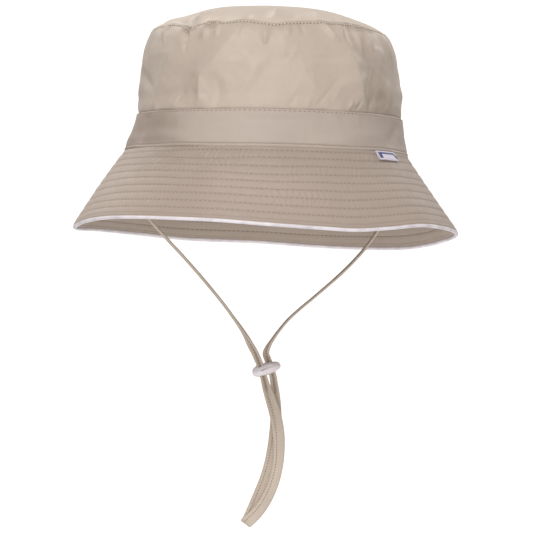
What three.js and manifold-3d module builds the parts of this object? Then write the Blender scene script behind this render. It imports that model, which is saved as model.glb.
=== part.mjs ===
import * as THREE from "three";
import { mergeVertices } from "three/addons/utils/BufferGeometryUtils.js";
import Module from "manifold-3d";

// A child's bucket sun hat with a chin strap. Millimetres, +Z up, the front of the hat towards -Y.
// The origin is the middle of the head opening, in the plane of the seam between band and brim.
// Every ring of the hat is an oval: "half" is its half width, and it is ovalExtra deeper than wide.

const ovalExtra = 9;
const clothGap = 0.3; // between neighbouring pieces of cloth
const around = 90; // steps round each ring of cloth
const turn = Math.PI * 2;

// Crown
const crownCloth = 1.2;
const tipRise = 13.2; // of the dome over its seam
const seamHalf = 64.4; // the seam of tip and side
const seamHeight = 68.9;

// Outer skin of the side panel, from its foot inside the band up to the tip seam. "shift" is how
// far the ring sits towards +X, because the crown leans a little to that side.
const sideRings = [
  { half: 73.1, height: 16.6, shift: 1.5 },
  { half: 73.1, height: 21.3, shift: 1.6 },
  { half: 73.8, height: 26.5, shift: 1.7 },
  { half: 73.6, height: 33, shift: 1.7 },
  { half: 72.8, height: 41, shift: 1.4 },
  { half: 72.0, height: 49, shift: 1.0 },
  { half: 70.8, height: 57, shift: 0.7 },
  { half: 68.5, height: 63.6, shift: 0.5 },
  { half: seamHalf + 0.15, height: seamHeight - 0.15, shift: 0.4 },
];
const tipShift = 0.4;

// Dome of the tip: share of the way from the middle to the seam, and share of the rise.
const tipRings = [
  { out: 1, rise: 0 },
  { out: 0.9, rise: 0.25 },
  { out: 0.76, rise: 0.5 },
  { out: 0.58, rise: 0.76 },
  { out: 0.3, rise: 0.95 },
];

// Band, outer skin, flared at its foot.
const bandCloth = 1.4;
const bandRings = [
  { half: 79.6, height: 0, shift: 0 },
  { half: 78.9, height: 3.6, shift: 0.1 },
  { half: 76.7, height: 11, shift: 0.9 },
  { half: 74.9, height: 20.8, shift: 1.6 },
];

// Brim: where its outer skin starts inside the band, and the share of the drop of each ring.
const brimCloth = 2;
const collarTop = { half: 76.9, height: 4 };
const collarFoot = { half: 77.8, height: -0.4 };
const brimRoot = 79.3; // half width from which the reach is counted
const brimShares = [1, 0.67, 0.34, 0.08];

// Edge of the brim round the hat: angle from the front towards +X, its drop and its reach outwards.
const brimEdge = [
  { angle: 0, drop: 43, reach: 27.5 },
  { angle: 18, drop: 45.4, reach: 25 },
  { angle: 28, drop: 45.4, reach: 25 },
  { angle: 39, drop: 43.2, reach: 27 },
  { angle: 52, drop: 40.2, reach: 30 },
  { angle: 65, drop: 40.3, reach: 30 },
  { angle: 80, drop: 41.6, reach: 29.5 },
  { angle: 90, drop: 42.8, reach: 29 },
  { angle: 100, drop: 44.4, reach: 27.4 },
  { angle: 113, drop: 47, reach: 25 },
  { angle: 125, drop: 48.7, reach: 23.4 },
  { angle: 140, drop: 48.9, reach: 23.3 },
  { angle: 160, drop: 47.9, reach: 24.2 },
  { angle: 180, drop: 45.8, reach: 25.9 },
  { angle: 207, drop: 44.9, reach: 26.8 },
  { angle: 228, drop: 42.8, reach: 28.2 },
  { angle: 245, drop: 42.2, reach: 28.8 },
  { angle: 262, drop: 42.8, reach: 28.4 },
  { angle: 282, drop: 42.2, reach: 28.6 },
  { angle: 295, drop: 40.4, reach: 29.9 },
  { angle: 308, drop: 39.1, reach: 31 },
  { angle: 322, drop: 39.6, reach: 30.4 },
  { angle: 335, drop: 40.8, reach: 29.4 },
  { angle: 347, drop: 41.6, reach: 28.7 },
  { angle: 360, drop: 43, reach: 27.5 },
];

// Piping
const pipingRadius = 0.8;
const pipingSides = 6;

// Folds of the side panel: a line from (footAngle, foot) to (topAngle, top), its depth outwards
// (inwards where negative), and how far it spreads to its left and right.
const sideFolds = [
  { footAngle: -39.6, foot: 50, topAngle: -42.2, top: 66, depth: 1.8, left: 9, right: 5 },
  { footAngle: -53.6, foot: 33, topAngle: -48.9, top: 53, depth: -1.2, left: 5, right: 5 },
  { footAngle: -31.5, foot: 22, topAngle: -30, top: 33, depth: 1.6, left: 8, right: 8 },
  { footAngle: -30, foot: 33, topAngle: -9.6, top: 65, depth: 2.3, left: 10, right: 9 },
  { footAngle: -36, foot: 27, topAngle: -36, top: 33, depth: -1.6, left: 8, right: 6 },
  { footAngle: -23.9, foot: 22, topAngle: -23.1, top: 39, depth: -1.6, left: 5, right: 5 },
  { footAngle: -12.5, foot: 28, topAngle: 1.6, top: 49, depth: -2, left: 8, right: 8 },
  { footAngle: -1.5, foot: 56, topAngle: -1.8, top: 68, depth: -1.6, left: 6, right: 6 },
  { footAngle: 20.1, foot: 22, topAngle: 20.6, top: 60, depth: -0.8, left: 6, right: 6 },
  { footAngle: 32.8, foot: 59, topAngle: 26.8, top: 69, depth: 1.4, left: 5, right: 5 },
  { footAngle: 37.1, foot: 30, topAngle: 37.9, top: 51, depth: 1.9, left: 9, right: 5 },
  { footAngle: 44.4, foot: 27, topAngle: 45.2, top: 53, depth: -2, left: 5, right: 6 },
  { footAngle: 21, foot: 22, topAngle: 34.8, top: 42, depth: -1.5, left: 6, right: 6 },
  { footAngle: 66.5, foot: 22, topAngle: 56.1, top: 38, depth: -1.5, left: 6, right: 6 },
  { footAngle: 78, foot: 40, topAngle: 84, top: 60, depth: -1.5, left: 7, right: 7 },
  { footAngle: 101, foot: 24, topAngle: 94, top: 52, depth: 1.6, left: 9, right: 7 },
  { footAngle: 118, foot: 30, topAngle: 126, top: 62, depth: -1.8, left: 8, right: 8 },
  { footAngle: 143, foot: 22, topAngle: 137, top: 50, depth: 1.7, left: 8, right: 8 },
  { footAngle: 160, foot: 40, topAngle: 168, top: 66, depth: -1.8, left: 8, right: 7 },
  { footAngle: 187, foot: 22, topAngle: 181, top: 48, depth: 1.6, left: 8, right: 8 },
  { footAngle: 203, foot: 30, topAngle: 210, top: 60, depth: -1.9, left: 8, right: 8 },
  { footAngle: 229, foot: 22, topAngle: 224, top: 54, depth: 1.7, left: 8, right: 8 },
  { footAngle: 247, foot: 34, topAngle: 255, top: 62, depth: -1.7, left: 8, right: 8 },
  { footAngle: 271, foot: 22, topAngle: 265, top: 46, depth: 1.4, left: 8, right: 8 },
  { footAngle: 288, foot: 38, topAngle: 283, top: 64, depth: -1.3, left: 7, right: 7 },
];

// Dents of the tip that run in from its seam: angle, how far in as a share, depth, half width.
const tipDents = [
  { angle: -34, inTo: 0.72, depth: -1.5, spread: 7 },
  { angle: -2, inTo: 0.7, depth: -1.4, spread: 8 },
  { angle: 26, inTo: 0.75, depth: 1.1, spread: 6 },
  { angle: 71, inTo: 0.7, depth: -1.2, spread: 8 },
  { angle: 128, inTo: 0.65, depth: -1.4, spread: 9 },
  { angle: 176, inTo: 0.7, depth: -1.2, spread: 8 },
  { angle: 232, inTo: 0.66, depth: -1.4, spread: 9 },
  { angle: 292, inTo: 0.72, depth: -1.2, spread: 8 },
];

// Label: it lies on the brim, its top edge caught under the band.
const labelAngles = { from: 48.2, to: 61 };
const labelThick = 0.8;
const labelTop = 1.5; // down the brim from its root
const labelLong = 5.1;
const labelLift = 0.65; // off the brim
const labelSteps = 6;

// Chin strap
const tapeWide = 6.5;
const tapeThick = 1.2;
const pinchedWide = 3.3; // folded in half lengthwise where the stopper holds it
const pinchedThick = 2.2;
const tapeSteps = 76;

// Middle line of the tape, from the left seam round to the right seam. "facing" is the angle of
// its width from the X axis, seen from above, "lean" how much that width dips towards +X, and
// "pinch" how much the tape is folded lengthwise.
const tapeRows = [
  { x: -74, y: 0, z: 3.4, facing: 90, lean: 0, pinch: 0 },
  { x: -74.6, y: 0, z: -3.4, facing: 90, lean: 0, pinch: 0 },
  { x: -73.8, y: 0, z: -15, facing: 88, lean: 0, pinch: 0 },
  { x: -70.6, y: -0.2, z: -28, facing: 85, lean: 0, pinch: 0 },
  { x: -65.2, y: -0.5, z: -38.2, facing: 83, lean: 0, pinch: 0 },
  { x: -56.2, y: -0.8, z: -48, facing: 82, lean: 0, pinch: 0 },
  { x: -43.1, y: -1, z: -61.6, facing: 82, lean: 0, pinch: 0 },
  { x: -29.8, y: -1.3, z: -76.4, facing: 82, lean: 0, pinch: 0 },
  { x: -19.4, y: -1.8, z: -88.8, facing: 82, lean: 0, pinch: 0.1 },
  { x: -9.9, y: -2.8, z: -101.6, facing: 74, lean: 0, pinch: 0.5 },
  { x: -5, y: -3.6, z: -109.6, facing: 36, lean: 0, pinch: 0.9 },
  { x: -1.65, y: -3.95, z: -117.16, facing: 8, lean: 0, pinch: 1 },
  { x: -0.88, y: -3.95, z: -119.53, facing: 0, lean: 0, pinch: 1 },
  { x: 0.67, y: -3.95, z: -124.29, facing: 0, lean: 0, pinch: 1 },
  { x: 1.44, y: -3.95, z: -126.67, facing: 2, lean: 0, pinch: 1 },
  { x: 2.7, y: -4.3, z: -131, facing: 4, lean: 0, pinch: 0.85 },
  { x: 4.9, y: -5, z: -137.2, facing: 5, lean: 0, pinch: 0.6 },
  { x: 7.7, y: -6, z: -145.2, facing: 3, lean: 0, pinch: 0.3 },
  { x: 9.8, y: -6.4, z: -154.6, facing: 0, lean: 0, pinch: 0.1 },
  { x: 10.7, y: -6.5, z: -165, facing: -3, lean: 0, pinch: 0 },
  { x: 10.2, y: -6.3, z: -175, facing: -5, lean: 0, pinch: 0 },
  { x: 7.9, y: -5.9, z: -185.6, facing: -6, lean: 0, pinch: 0 },
  { x: 3.6, y: -5.3, z: -195.6, facing: -6, lean: 0, pinch: 0 },
  { x: -1.4, y: -4.6, z: -202.6, facing: -5, lean: 37, pinch: 0 },
  { x: -5.6, y: -3.8, z: -206.8, facing: -3, lean: 37, pinch: 0 },
  { x: -7.2, y: -2.5, z: -208.3, facing: 0, lean: 37, pinch: 0 },
  { x: -6.1, y: -1.3, z: -206.8, facing: 2, lean: 37, pinch: 0 },
  { x: -3.9, y: -0.7, z: -202, facing: 2, lean: 37, pinch: 0 },
  { x: -0.4, y: -0.1, z: -193.4, facing: 2, lean: 0, pinch: 0 },
  { x: 3.4, y: 0.5, z: -183.4, facing: 2, lean: 0, pinch: 0 },
  { x: 6.2, y: 0.9, z: -173, facing: 2, lean: 0, pinch: 0 },
  { x: 7.9, y: 1.2, z: -162, facing: 2, lean: 0, pinch: 0.1 },
  { x: 8.6, y: 1.2, z: -151, facing: 0, lean: 0, pinch: 0.3 },
  { x: 8.3, y: 0.9, z: -140, facing: -2, lean: 0, pinch: 0.6 },
  { x: 7.4, y: 0.3, z: -131, facing: 0, lean: 0, pinch: 0.9 },
  { x: 6.38, y: -0.05, z: -125.05, facing: 0, lean: 0, pinch: 1 },
  { x: 5.61, y: -0.05, z: -122.68, facing: 0, lean: 0, pinch: 1 },
  { x: 4.06, y: -0.05, z: -117.92, facing: 0, lean: 0, pinch: 1 },
  { x: 3.29, y: -0.05, z: -115.55, facing: 8, lean: 0, pinch: 1 },
  { x: 2.9, y: -0.1, z: -111.6, facing: 46, lean: 0, pinch: 0.8 },
  { x: 4.6, y: -0.3, z: -107.2, facing: 76, lean: 0, pinch: 0.4 },
  { x: 13.4, y: -0.5, z: -94.6, facing: 82, lean: 0, pinch: 0.1 },
  { x: 20.8, y: -0.5, z: -87.2, facing: 82, lean: 0, pinch: 0 },
  { x: 29.1, y: -0.5, z: -80, facing: 82, lean: 0, pinch: 0 },
  { x: 45.4, y: -0.5, z: -65, facing: 80, lean: 0, pinch: 0 },
  { x: 57, y: -0.4, z: -52, facing: 80, lean: 0, pinch: 0 },
  { x: 63.6, y: -0.3, z: -42, facing: 81, lean: 0, pinch: 0 },
  { x: 69.6, y: -0.2, z: -29, facing: 84, lean: 0, pinch: 0 },
  { x: 73.6, y: 0, z: -15.5, facing: 88, lean: 0, pinch: 0 },
  { x: 74.6, y: 0, z: -3.4, facing: 90, lean: 0, pinch: 0 },
  { x: 74, y: 0, z: 3.4, facing: 90, lean: 0, pinch: 0 },
];

// Stopper: a bean with two eyes, one in front for the left run and one behind for the right run.
const stopper = { long: 15.4, deep: 9.4, high: 6.2, round: 1.8, x: 2.7, y: -2, z: -121, rise: 18 };
const stopperEyes = [
  { x: -2.95, y: -1.95, long: 4, deep: 2.8 },
  { x: 2.25, y: 1.95, long: 4, deep: 2.8 },
];

// Point of an oval ring. The angle counts from the front of the hat towards +X.
function ovalPoint(half, angle, height) {
  const a = (angle / 360) * turn;
  return new THREE.Vector3(half * Math.sin(a), -(half + ovalExtra) * Math.cos(a), height);
}

// Direction that leans "out" along the oval's own normal and "up" along Z.
function ovalNormal(half, angle, out, up) {
  const a = (angle / 360) * turn;
  const flat = new THREE.Vector2((half + ovalExtra) * Math.sin(a), -half * Math.cos(a)).normalize();
  return new THREE.Vector3(flat.x * out, flat.y * out, up).normalize();
}

// Lean of a wall at one of its rings, from the rings beside it.
function ringLean(rings, i) {
  const below = rings[Math.max(i - 1, 0)];
  const above = rings[Math.min(i + 1, rings.length - 1)];
  return { out: above.height - below.height, up: below.half - above.half };
}

// Height of a fold's cross-section at a signed distance from its line: a crest with hollow flanks.
function foldShape(distance, left, right) {
  const reach = Math.abs(distance) / (distance < 0 ? left : right);
  return reach < 1 ? (1 - reach) * (1 - reach) * (1 + 0.8 * reach) : 0;
}

// Smallest turn from one angle to another, in degrees.
function angleFrom(a, b) {
  return ((((a - b) % 360) + 540) % 360) - 180;
}

// How far the folds push the side panel outwards. They fade towards the band.
function sideLift(angle, height) {
  const scale = (turn / 360) * 77; // millimetres of cloth in a degree
  let lift = 0;
  for (const fold of sideFolds) {
    const x = angleFrom(angle, fold.footAngle) * scale;
    const runX = angleFrom(fold.topAngle, fold.footAngle) * scale;
    const y = height - fold.foot;
    const runY = fold.top - fold.foot;
    const long = Math.hypot(runX, runY);
    const along = THREE.MathUtils.clamp((x * runX + y * runY) / (long * long), 0, 1);
    const offX = x - along * runX;
    const offY = y - along * runY;
    const side = Math.sign(x * runY - y * runX) || 1;
    lift += fold.depth * foldShape(side * Math.hypot(offX, offY), fold.left, fold.right);
  }
  const atBand = THREE.MathUtils.smoothstep(height, 21.4, 27);
  const atSeam = 1 - 0.6 * THREE.MathUtils.smoothstep(height, 62, seamHeight);
  return lift * atBand * atSeam;
}

// How far the dents push the tip. They meet the side panel's folds at the seam.
function tipLift(angle, out) {
  const meet = THREE.MathUtils.smoothstep(out, 0.86, 1);
  let lift = 0;
  for (const dent of tipDents) {
    const off = (angleFrom(angle, dent.angle) * turn * seamHalf * out) / 360;
    const along = THREE.MathUtils.smoothstep(out, dent.inTo - 0.25, dent.inTo + 0.1);
    lift += dent.depth * along * foldShape(off, dent.spread, dent.spread);
  }
  return lift * (1 - meet) + sideLift(angle, seamHeight) * meet;
}

// Drop and reach of the brim's edge at an angle, eased between the rows of the table.
function brimEdgeAt(angle) {
  const a = ((angle % 360) + 360) % 360;
  const i = Math.max(brimEdge.findIndex((row) => row.angle > a), 1);
  const from = brimEdge[i - 1];
  const to = brimEdge[i];
  const t = (a - from.angle) / (to.angle - from.angle);
  const eased = t * t * (3 - 2 * t);
  return {
    drop: THREE.MathUtils.lerp(from.drop, to.drop, eased),
    reach: THREE.MathUtils.lerp(from.reach, to.reach, eased),
  };
}

// Point of the brim's outer skin at a share of the way down, and its normal.
function brimPoint(share, angle) {
  const edge = brimEdgeAt(angle);
  const half = brimRoot + edge.reach * Math.pow(share, 0.94);
  return ovalPoint(half, angle, -edge.drop * share);
}

function brimNormal(angle) {
  const edge = brimEdgeAt(angle);
  return ovalNormal(brimRoot, angle, edge.drop, edge.reach);
}

function brimDown(angle) {
  const edge = brimEdgeAt(angle);
  return ovalNormal(brimRoot, angle, edge.reach, -edge.drop);
}

function angleOf(step) {
  return (step * 360) / around;
}

// A mesh from a list of points and a list of triangles of point numbers.
function meshOf(name, points, faces, look) {
  const geometry = new THREE.BufferGeometry().setFromPoints(points);
  geometry.setIndex(faces);
  geometry.computeVertexNormals();
  const mesh = new THREE.Mesh(geometry, new THREE.MeshStandardMaterial(look));
  mesh.name = name;
  return mesh;
}

// Two triangles for a four-cornered patch, its corners in turn seen from outside.
function patch(faces, a, b, c, d) {
  faces.push(a, b, c, a, c, d);
}

// A wall of cloth round the hat: outer and inner skins, ring by ring from the foot up, and two rims.
function clothWall(name, levels, outerAt, innerAt, look) {
  const points = [];
  const faces = [];
  for (const skinAt of [outerAt, innerAt]) {
    for (let i = 0; i < levels; i++) {
      for (let j = 0; j < around; j++) {
        points.push(skinAt(i, angleOf(j)));
      }
    }
  }
  const outer = (i, j) => i * around + (j % around);
  const inner = (i, j) => (levels + i) * around + (j % around);
  for (let j = 0; j < around; j++) {
    for (let i = 0; i + 1 < levels; i++) {
      patch(faces, outer(i, j), outer(i, j + 1), outer(i + 1, j + 1), outer(i + 1, j));
      patch(faces, inner(i, j + 1), inner(i, j), inner(i + 1, j), inner(i + 1, j + 1));
    }
    patch(faces, inner(0, j), inner(0, j + 1), outer(0, j + 1), outer(0, j));
    const top = levels - 1;
    patch(faces, outer(top, j), outer(top, j + 1), inner(top, j + 1), inner(top, j));
  }
  return meshOf(name, points, faces, look);
}

function makeCrownSide() {
  const outerAt = (i, angle) => {
    const ring = sideRings[i];
    const lean = ringLean(sideRings, i);
    const lift = sideLift(angle, ring.height);
    const normal = ovalNormal(ring.half, angle, lean.out, lean.up);
    const point = ovalPoint(ring.half, angle, ring.height).addScaledVector(normal, lift);
    point.x += ring.shift;
    return point;
  };
  const innerAt = (i, angle) => {
    const ring = sideRings[i];
    const lean = ringLean(sideRings, i);
    const normal = ovalNormal(ring.half, angle, lean.out, lean.up);
    return outerAt(i, angle).addScaledVector(normal, -crownCloth);
  };
  return clothWall("crown_side", sideRings.length, outerAt, innerAt, {
    color: 0xc3b4a4,
    roughness: 0.62,
    metalness: 0,
  });
}

function makeCrownTip() {
  const points = [];
  const faces = [];
  const rings = tipRings.map((ring) => ({
    half: (seamHalf - 0.15) * ring.out,
    height: seamHeight + 0.15 + tipRise * ring.rise,
  }));
  const apex = { half: 0, height: seamHeight + 0.15 + tipRise };
  const seamLean = ringLean(sideRings, sideRings.length - 1);
  const skinAt = (i, angle, under) => {
    const lean = i === 0 ? seamLean : ringLean([...rings, apex], i);
    const normal = ovalNormal(seamHalf, angle, lean.out, lean.up);
    const out = tipRings[i].out;
    const a = (angle / 360) * turn;
    const deep = (seamHalf + ovalExtra - 0.15) * out;
    const across = rings[i].half * Math.sin(a) + tipShift;
    const point = new THREE.Vector3(across, -deep * Math.cos(a), rings[i].height);
    return point.addScaledVector(normal, tipLift(angle, out) - under);
  };
  for (const under of [0, crownCloth]) {
    for (let i = 0; i < rings.length; i++) {
      for (let j = 0; j < around; j++) {
        points.push(skinAt(i, angleOf(j), under));
      }
    }
    points.push(new THREE.Vector3(tipShift, 0, apex.height - under));
  }
  const skin = rings.length * around + 1;
  const outer = (i, j) => i * around + (j % around);
  const inner = (i, j) => skin + i * around + (j % around);
  const last = rings.length - 1;
  for (let j = 0; j < around; j++) {
    for (let i = 0; i < last; i++) {
      patch(faces, outer(i, j), outer(i, j + 1), outer(i + 1, j + 1), outer(i + 1, j));
      patch(faces, inner(i, j + 1), inner(i, j), inner(i + 1, j), inner(i + 1, j + 1));
    }
    patch(faces, inner(0, j), inner(0, j + 1), outer(0, j + 1), outer(0, j));
    faces.push(outer(last, j), outer(last, j + 1), skin - 1);
    faces.push(inner(last, j + 1), inner(last, j), skin * 2 - 1);
  }
  return meshOf("crown_tip", points, faces, { color: 0xcabcab, roughness: 0.62, metalness: 0 });
}

function makeBand() {
  const skinAt = (under) => (i, angle) => {
    const ring = bandRings[i];
    const lean = ringLean(bandRings, i);
    const normal = ovalNormal(ring.half, angle, lean.out, lean.up);
    const point = ovalPoint(ring.half, angle, ring.height).addScaledVector(normal, -under);
    point.x += ring.shift;
    return point;
  };
  const look = { color: 0xc2b2a6, roughness: 0.6, metalness: 0 };
  return clothWall("hat_band", bandRings.length, skinAt(0), skinAt(bandCloth), look);
}

function makeBrim() {
  const collar = [collarFoot, collarTop];
  const skinAt = (under) => (i, angle) => {
    if (i < brimShares.length) {
      return brimPoint(brimShares[i], angle).addScaledVector(brimNormal(angle), -under);
    }
    const ring = collar[i - brimShares.length];
    const up = i === brimShares.length ? 0.35 : 0.15;
    const normal = ovalNormal(ring.half, angle, 1, up);
    return ovalPoint(ring.half, angle, ring.height).addScaledVector(normal, -under);
  };
  const look = { color: 0xbcac9c, roughness: 0.6, metalness: 0 };
  const levels = brimShares.length + collar.length;
  return clothWall("brim", levels, skinAt(0), skinAt(brimCloth), look);
}

function makePiping() {
  const points = [];
  const faces = [];
  for (let j = 0; j < around; j++) {
    const angle = angleOf(j);
    const normal = brimNormal(angle);
    const down = brimDown(angle);
    const middle = brimPoint(1, angle)
      .addScaledVector(normal, -brimCloth / 2)
      .addScaledVector(down, clothGap + pipingRadius);
    for (let k = 0; k < pipingSides; k++) {
      const a = ((k + 0.5) * turn) / pipingSides;
      points.push(
        middle
          .clone()
          .addScaledVector(normal, pipingRadius * Math.cos(a))
          .addScaledVector(down, pipingRadius * Math.sin(a)),
      );
    }
  }
  const at = (j, k) => (j % around) * pipingSides + (k % pipingSides);
  for (let j = 0; j < around; j++) {
    for (let k = 0; k < pipingSides; k++) {
      patch(faces, at(j, k), at(j, k + 1), at(j + 1, k + 1), at(j + 1, k));
    }
  }
  return meshOf("brim_piping", points, faces, { color: 0xe6e1e6, roughness: 0.55, metalness: 0 });
}

function makeLabel() {
  const points = [];
  const faces = [];
  for (let j = 0; j <= labelSteps; j++) {
    const angle = THREE.MathUtils.lerp(labelAngles.from, labelAngles.to, j / labelSteps);
    const slant = Math.hypot(brimEdgeAt(angle).drop, brimEdgeAt(angle).reach);
    const normal = brimNormal(angle);
    const high = brimPoint(labelTop / slant, angle);
    const low = brimPoint((labelTop + labelLong) / slant, angle);
    for (const lift of [labelLift, labelLift + labelThick]) {
      points.push(low.clone().addScaledVector(normal, lift));
      points.push(high.clone().addScaledVector(normal, lift));
    }
  }
  for (let j = 0; j < labelSteps; j++) {
    const a = j * 4;
    const b = a + 4;
    patch(faces, a + 2, b + 2, b + 3, a + 3);
    patch(faces, b, a, a + 1, b + 1);
    patch(faces, a, b, b + 2, a + 2);
    patch(faces, a + 3, b + 3, b + 1, a + 1);
  }
  const end = labelSteps * 4;
  patch(faces, 0, 2, 3, 1);
  patch(faces, end + 2, end, end + 1, end + 3);
  return meshOf("label", points, faces, { color: 0xdcd4e0, roughness: 0.5, metalness: 0 });
}

// Value of one column of the tape's table, eased along the same share as the curve.
function tapeColumn(column, share) {
  const place = share * (tapeRows.length - 1);
  const i = Math.min(Math.floor(place), tapeRows.length - 2);
  return THREE.MathUtils.lerp(tapeRows[i][column], tapeRows[i + 1][column], place - i);
}

// The tape is an eight-sided flat section carried along its middle line.
function makeStrap() {
  const curve = new THREE.CatmullRomCurve3(
    tapeRows.map((row) => new THREE.Vector3(row.x, row.y, row.z)),
    false,
    "centripetal",
  );
  const corners = [
    [0.5, 0.2],
    [0.42, 0.5],
    [-0.42, 0.5],
    [-0.5, 0.2],
    [-0.5, -0.2],
    [-0.42, -0.5],
    [0.42, -0.5],
    [0.5, -0.2],
  ];
  const points = [];
  const faces = [];
  for (let i = 0; i <= tapeSteps; i++) {
    const share = i / tapeSteps;
    const along = curve.getTangent(share);
    const facing = (tapeColumn("facing", share) / 360) * turn;
    const lean = (tapeColumn("lean", share) / 360) * turn;
    const level = Math.cos(facing);
    const flat = new THREE.Vector3(level * Math.cos(lean), -Math.sin(facing), -level * Math.sin(lean));
    const wide = flat.addScaledVector(along, -flat.dot(along)).normalize();
    const thick = new THREE.Vector3().crossVectors(along, wide);
    const pinch = tapeColumn("pinch", share);
    const width = THREE.MathUtils.lerp(tapeWide, pinchedWide, pinch);
    const depth = THREE.MathUtils.lerp(tapeThick, pinchedThick, pinch);
    for (const [u, v] of corners) {
      points.push(
        curve
          .getPoint(share)
          .addScaledVector(wide, u * width)
          .addScaledVector(thick, v * depth),
      );
    }
  }
  const sides = corners.length;
  const at = (i, k) => i * sides + (k % sides);
  for (let i = 0; i < tapeSteps; i++) {
    for (let k = 0; k < sides; k++) {
      patch(faces, at(i, k), at(i, k + 1), at(i + 1, k + 1), at(i + 1, k));
    }
  }
  for (let k = 1; k + 1 < sides; k++) {
    faces.push(at(0, 0), at(0, k + 1), at(0, k));
    faces.push(at(tapeSteps, 0), at(tapeSteps, k), at(tapeSteps, k + 1));
  }
  return meshOf("chin_strap", points, faces, { color: 0xc8bbae, roughness: 0.6, metalness: 0 });
}

// Prism on an oval with straight sides, centred on its place, its edges rounded where asked.
function ovalPrism(x, y, long, deep, high, round) {
  const flat = (long - deep) / 2;
  const radius = deep / 2 - round;
  const outline = new THREE.Shape();
  outline.absarc(flat, 0, radius, -turn / 4, turn / 4, false);
  outline.absarc(-flat, 0, radius, turn / 4, (turn * 3) / 4, false);
  outline.closePath();
  const geometry = new THREE.ExtrudeGeometry(outline, {
    depth: high - 2 * round,
    curveSegments: 6,
    bevelEnabled: round > 0,
    bevelSize: round,
    bevelThickness: round,
    bevelSegments: 3,
  });
  return geometry.translate(x, y, round - high / 2);
}

// A geometry as a solid that can be cut.
function solidOf(geometry) {
  const bare = geometry.clone();
  bare.deleteAttribute("normal");
  bare.deleteAttribute("uv");
  const merged = mergeVertices(bare, 1e-4);
  return new wasm.Manifold(
    new wasm.Mesh({
      numProp: 3,
      vertProperties: merged.attributes.position.array,
      triVerts: new Uint32Array(merged.index.array),
    }),
  );
}

function makeStopper() {
  const { long, deep, high, round } = stopper;
  let solid = solidOf(ovalPrism(0, 0, long, deep, high, round));
  for (const eye of stopperEyes) {
    solid = solid.subtract(solidOf(ovalPrism(eye.x, eye.y, eye.long, eye.deep, high * 2, 0)));
  }
  const cut = solid.getMesh();
  const geometry = new THREE.BufferGeometry();
  geometry.setAttribute("position", new THREE.BufferAttribute(cut.vertProperties, 3));
  geometry.setIndex(new THREE.BufferAttribute(cut.triVerts, 1));
  geometry.computeVertexNormals();
  const look = { color: 0xe0dae2, roughness: 0.45, metalness: 0 };
  const mesh = new THREE.Mesh(geometry, new THREE.MeshStandardMaterial(look));
  mesh.name = "cord_stopper";
  mesh.position.set(stopper.x, stopper.y, stopper.z);
  mesh.rotation.y = (-stopper.rise / 360) * turn;
  return mesh;
}

const wasm = await Module();
wasm.setup();

const hat = new THREE.Group();
hat.name = "sun_hat";
hat.add(makeCrownTip());
hat.add(makeCrownSide());
hat.add(makeBand());
hat.add(makeBrim());
hat.add(makePiping());
hat.add(makeLabel());
hat.add(makeStrap());
hat.add(makeStopper());

export default hat;
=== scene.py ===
# Child's bucket sun hat with a chin strap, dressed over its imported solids.
# Sizes in the tables are millimetres and degrees. Angles count from the front of the hat towards +X.
import math

import bpy
import numpy as np
from mathutils import Matrix, Vector


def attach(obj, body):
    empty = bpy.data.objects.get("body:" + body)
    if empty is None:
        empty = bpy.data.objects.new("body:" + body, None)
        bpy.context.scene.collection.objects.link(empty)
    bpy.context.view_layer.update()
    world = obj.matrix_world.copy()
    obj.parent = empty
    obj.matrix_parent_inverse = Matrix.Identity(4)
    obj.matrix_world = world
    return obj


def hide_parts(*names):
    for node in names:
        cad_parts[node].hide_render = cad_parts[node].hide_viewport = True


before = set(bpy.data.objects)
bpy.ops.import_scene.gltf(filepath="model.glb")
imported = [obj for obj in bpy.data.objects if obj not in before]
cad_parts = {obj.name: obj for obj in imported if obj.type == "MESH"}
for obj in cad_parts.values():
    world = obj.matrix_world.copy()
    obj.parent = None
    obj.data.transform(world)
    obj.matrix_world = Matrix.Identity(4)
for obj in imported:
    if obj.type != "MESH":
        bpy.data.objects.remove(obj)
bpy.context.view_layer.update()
mm = 0.001
fullTurn = 2 * math.pi
tiny = 1e-9  # guards a division
print("frame loaded")


def linkObject(name, data):
    made = bpy.data.objects.new(name, data)
    bpy.context.scene.collection.objects.link(made)
    return made


def plainMesh(name, points, faces, edges=()):
    mesh = bpy.data.meshes.new(name)
    mesh.from_pydata(points, edges, faces)
    return mesh


# Camera.
cameraValues = {
    "distance": 2.57,  # metres in front of the hat
    "height": -0.12,
    "lookX": 0.0015,
    "lookZ": -0.0637,
    "fieldWidth": 0.3,  # metres seen at the hat
    "sensor": 36,
    "roll": 1.2,
    "clip": (0.05, 60),
}


def makeCamera(values):
    data = bpy.data.cameras.new("hatCamera")
    data.sensor_width = values["sensor"]
    data.lens = values["sensor"] * values["distance"] / values["fieldWidth"]
    data.clip_start, data.clip_end = values["clip"]
    place = Vector((0, -values["distance"], values["height"]))
    ahead = (Vector((values["lookX"], 0, values["lookZ"])) - place).normalized()
    roll = math.radians(values["roll"])
    right = Vector((math.cos(roll), 0, math.sin(roll)))
    right = (right - ahead * right.dot(ahead)).normalized()
    above = right.cross(ahead)
    turned = Matrix((right, above, -ahead)).transposed().to_4x4()
    camera = linkObject("hatCamera", data)
    camera.matrix_world = Matrix.Translation(place) @ turned
    bpy.context.scene.camera = camera


makeCamera(cameraValues)
bpy.context.scene.view_settings.view_transform = "Standard"


# Curves, rings and noise.
def smoothstep(value, low, high):
    share = np.clip((value - low) / (high - low), 0, 1)
    return share * share * (3 - 2 * share)


def lerp(a, b, share):
    return a + (b - a) * share


def bell(value, wide):
    return np.exp(-(value / wide) ** 2)


def unit(vectors):
    return vectors / np.linalg.norm(vectors, axis=-1, keepdims=True)


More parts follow.
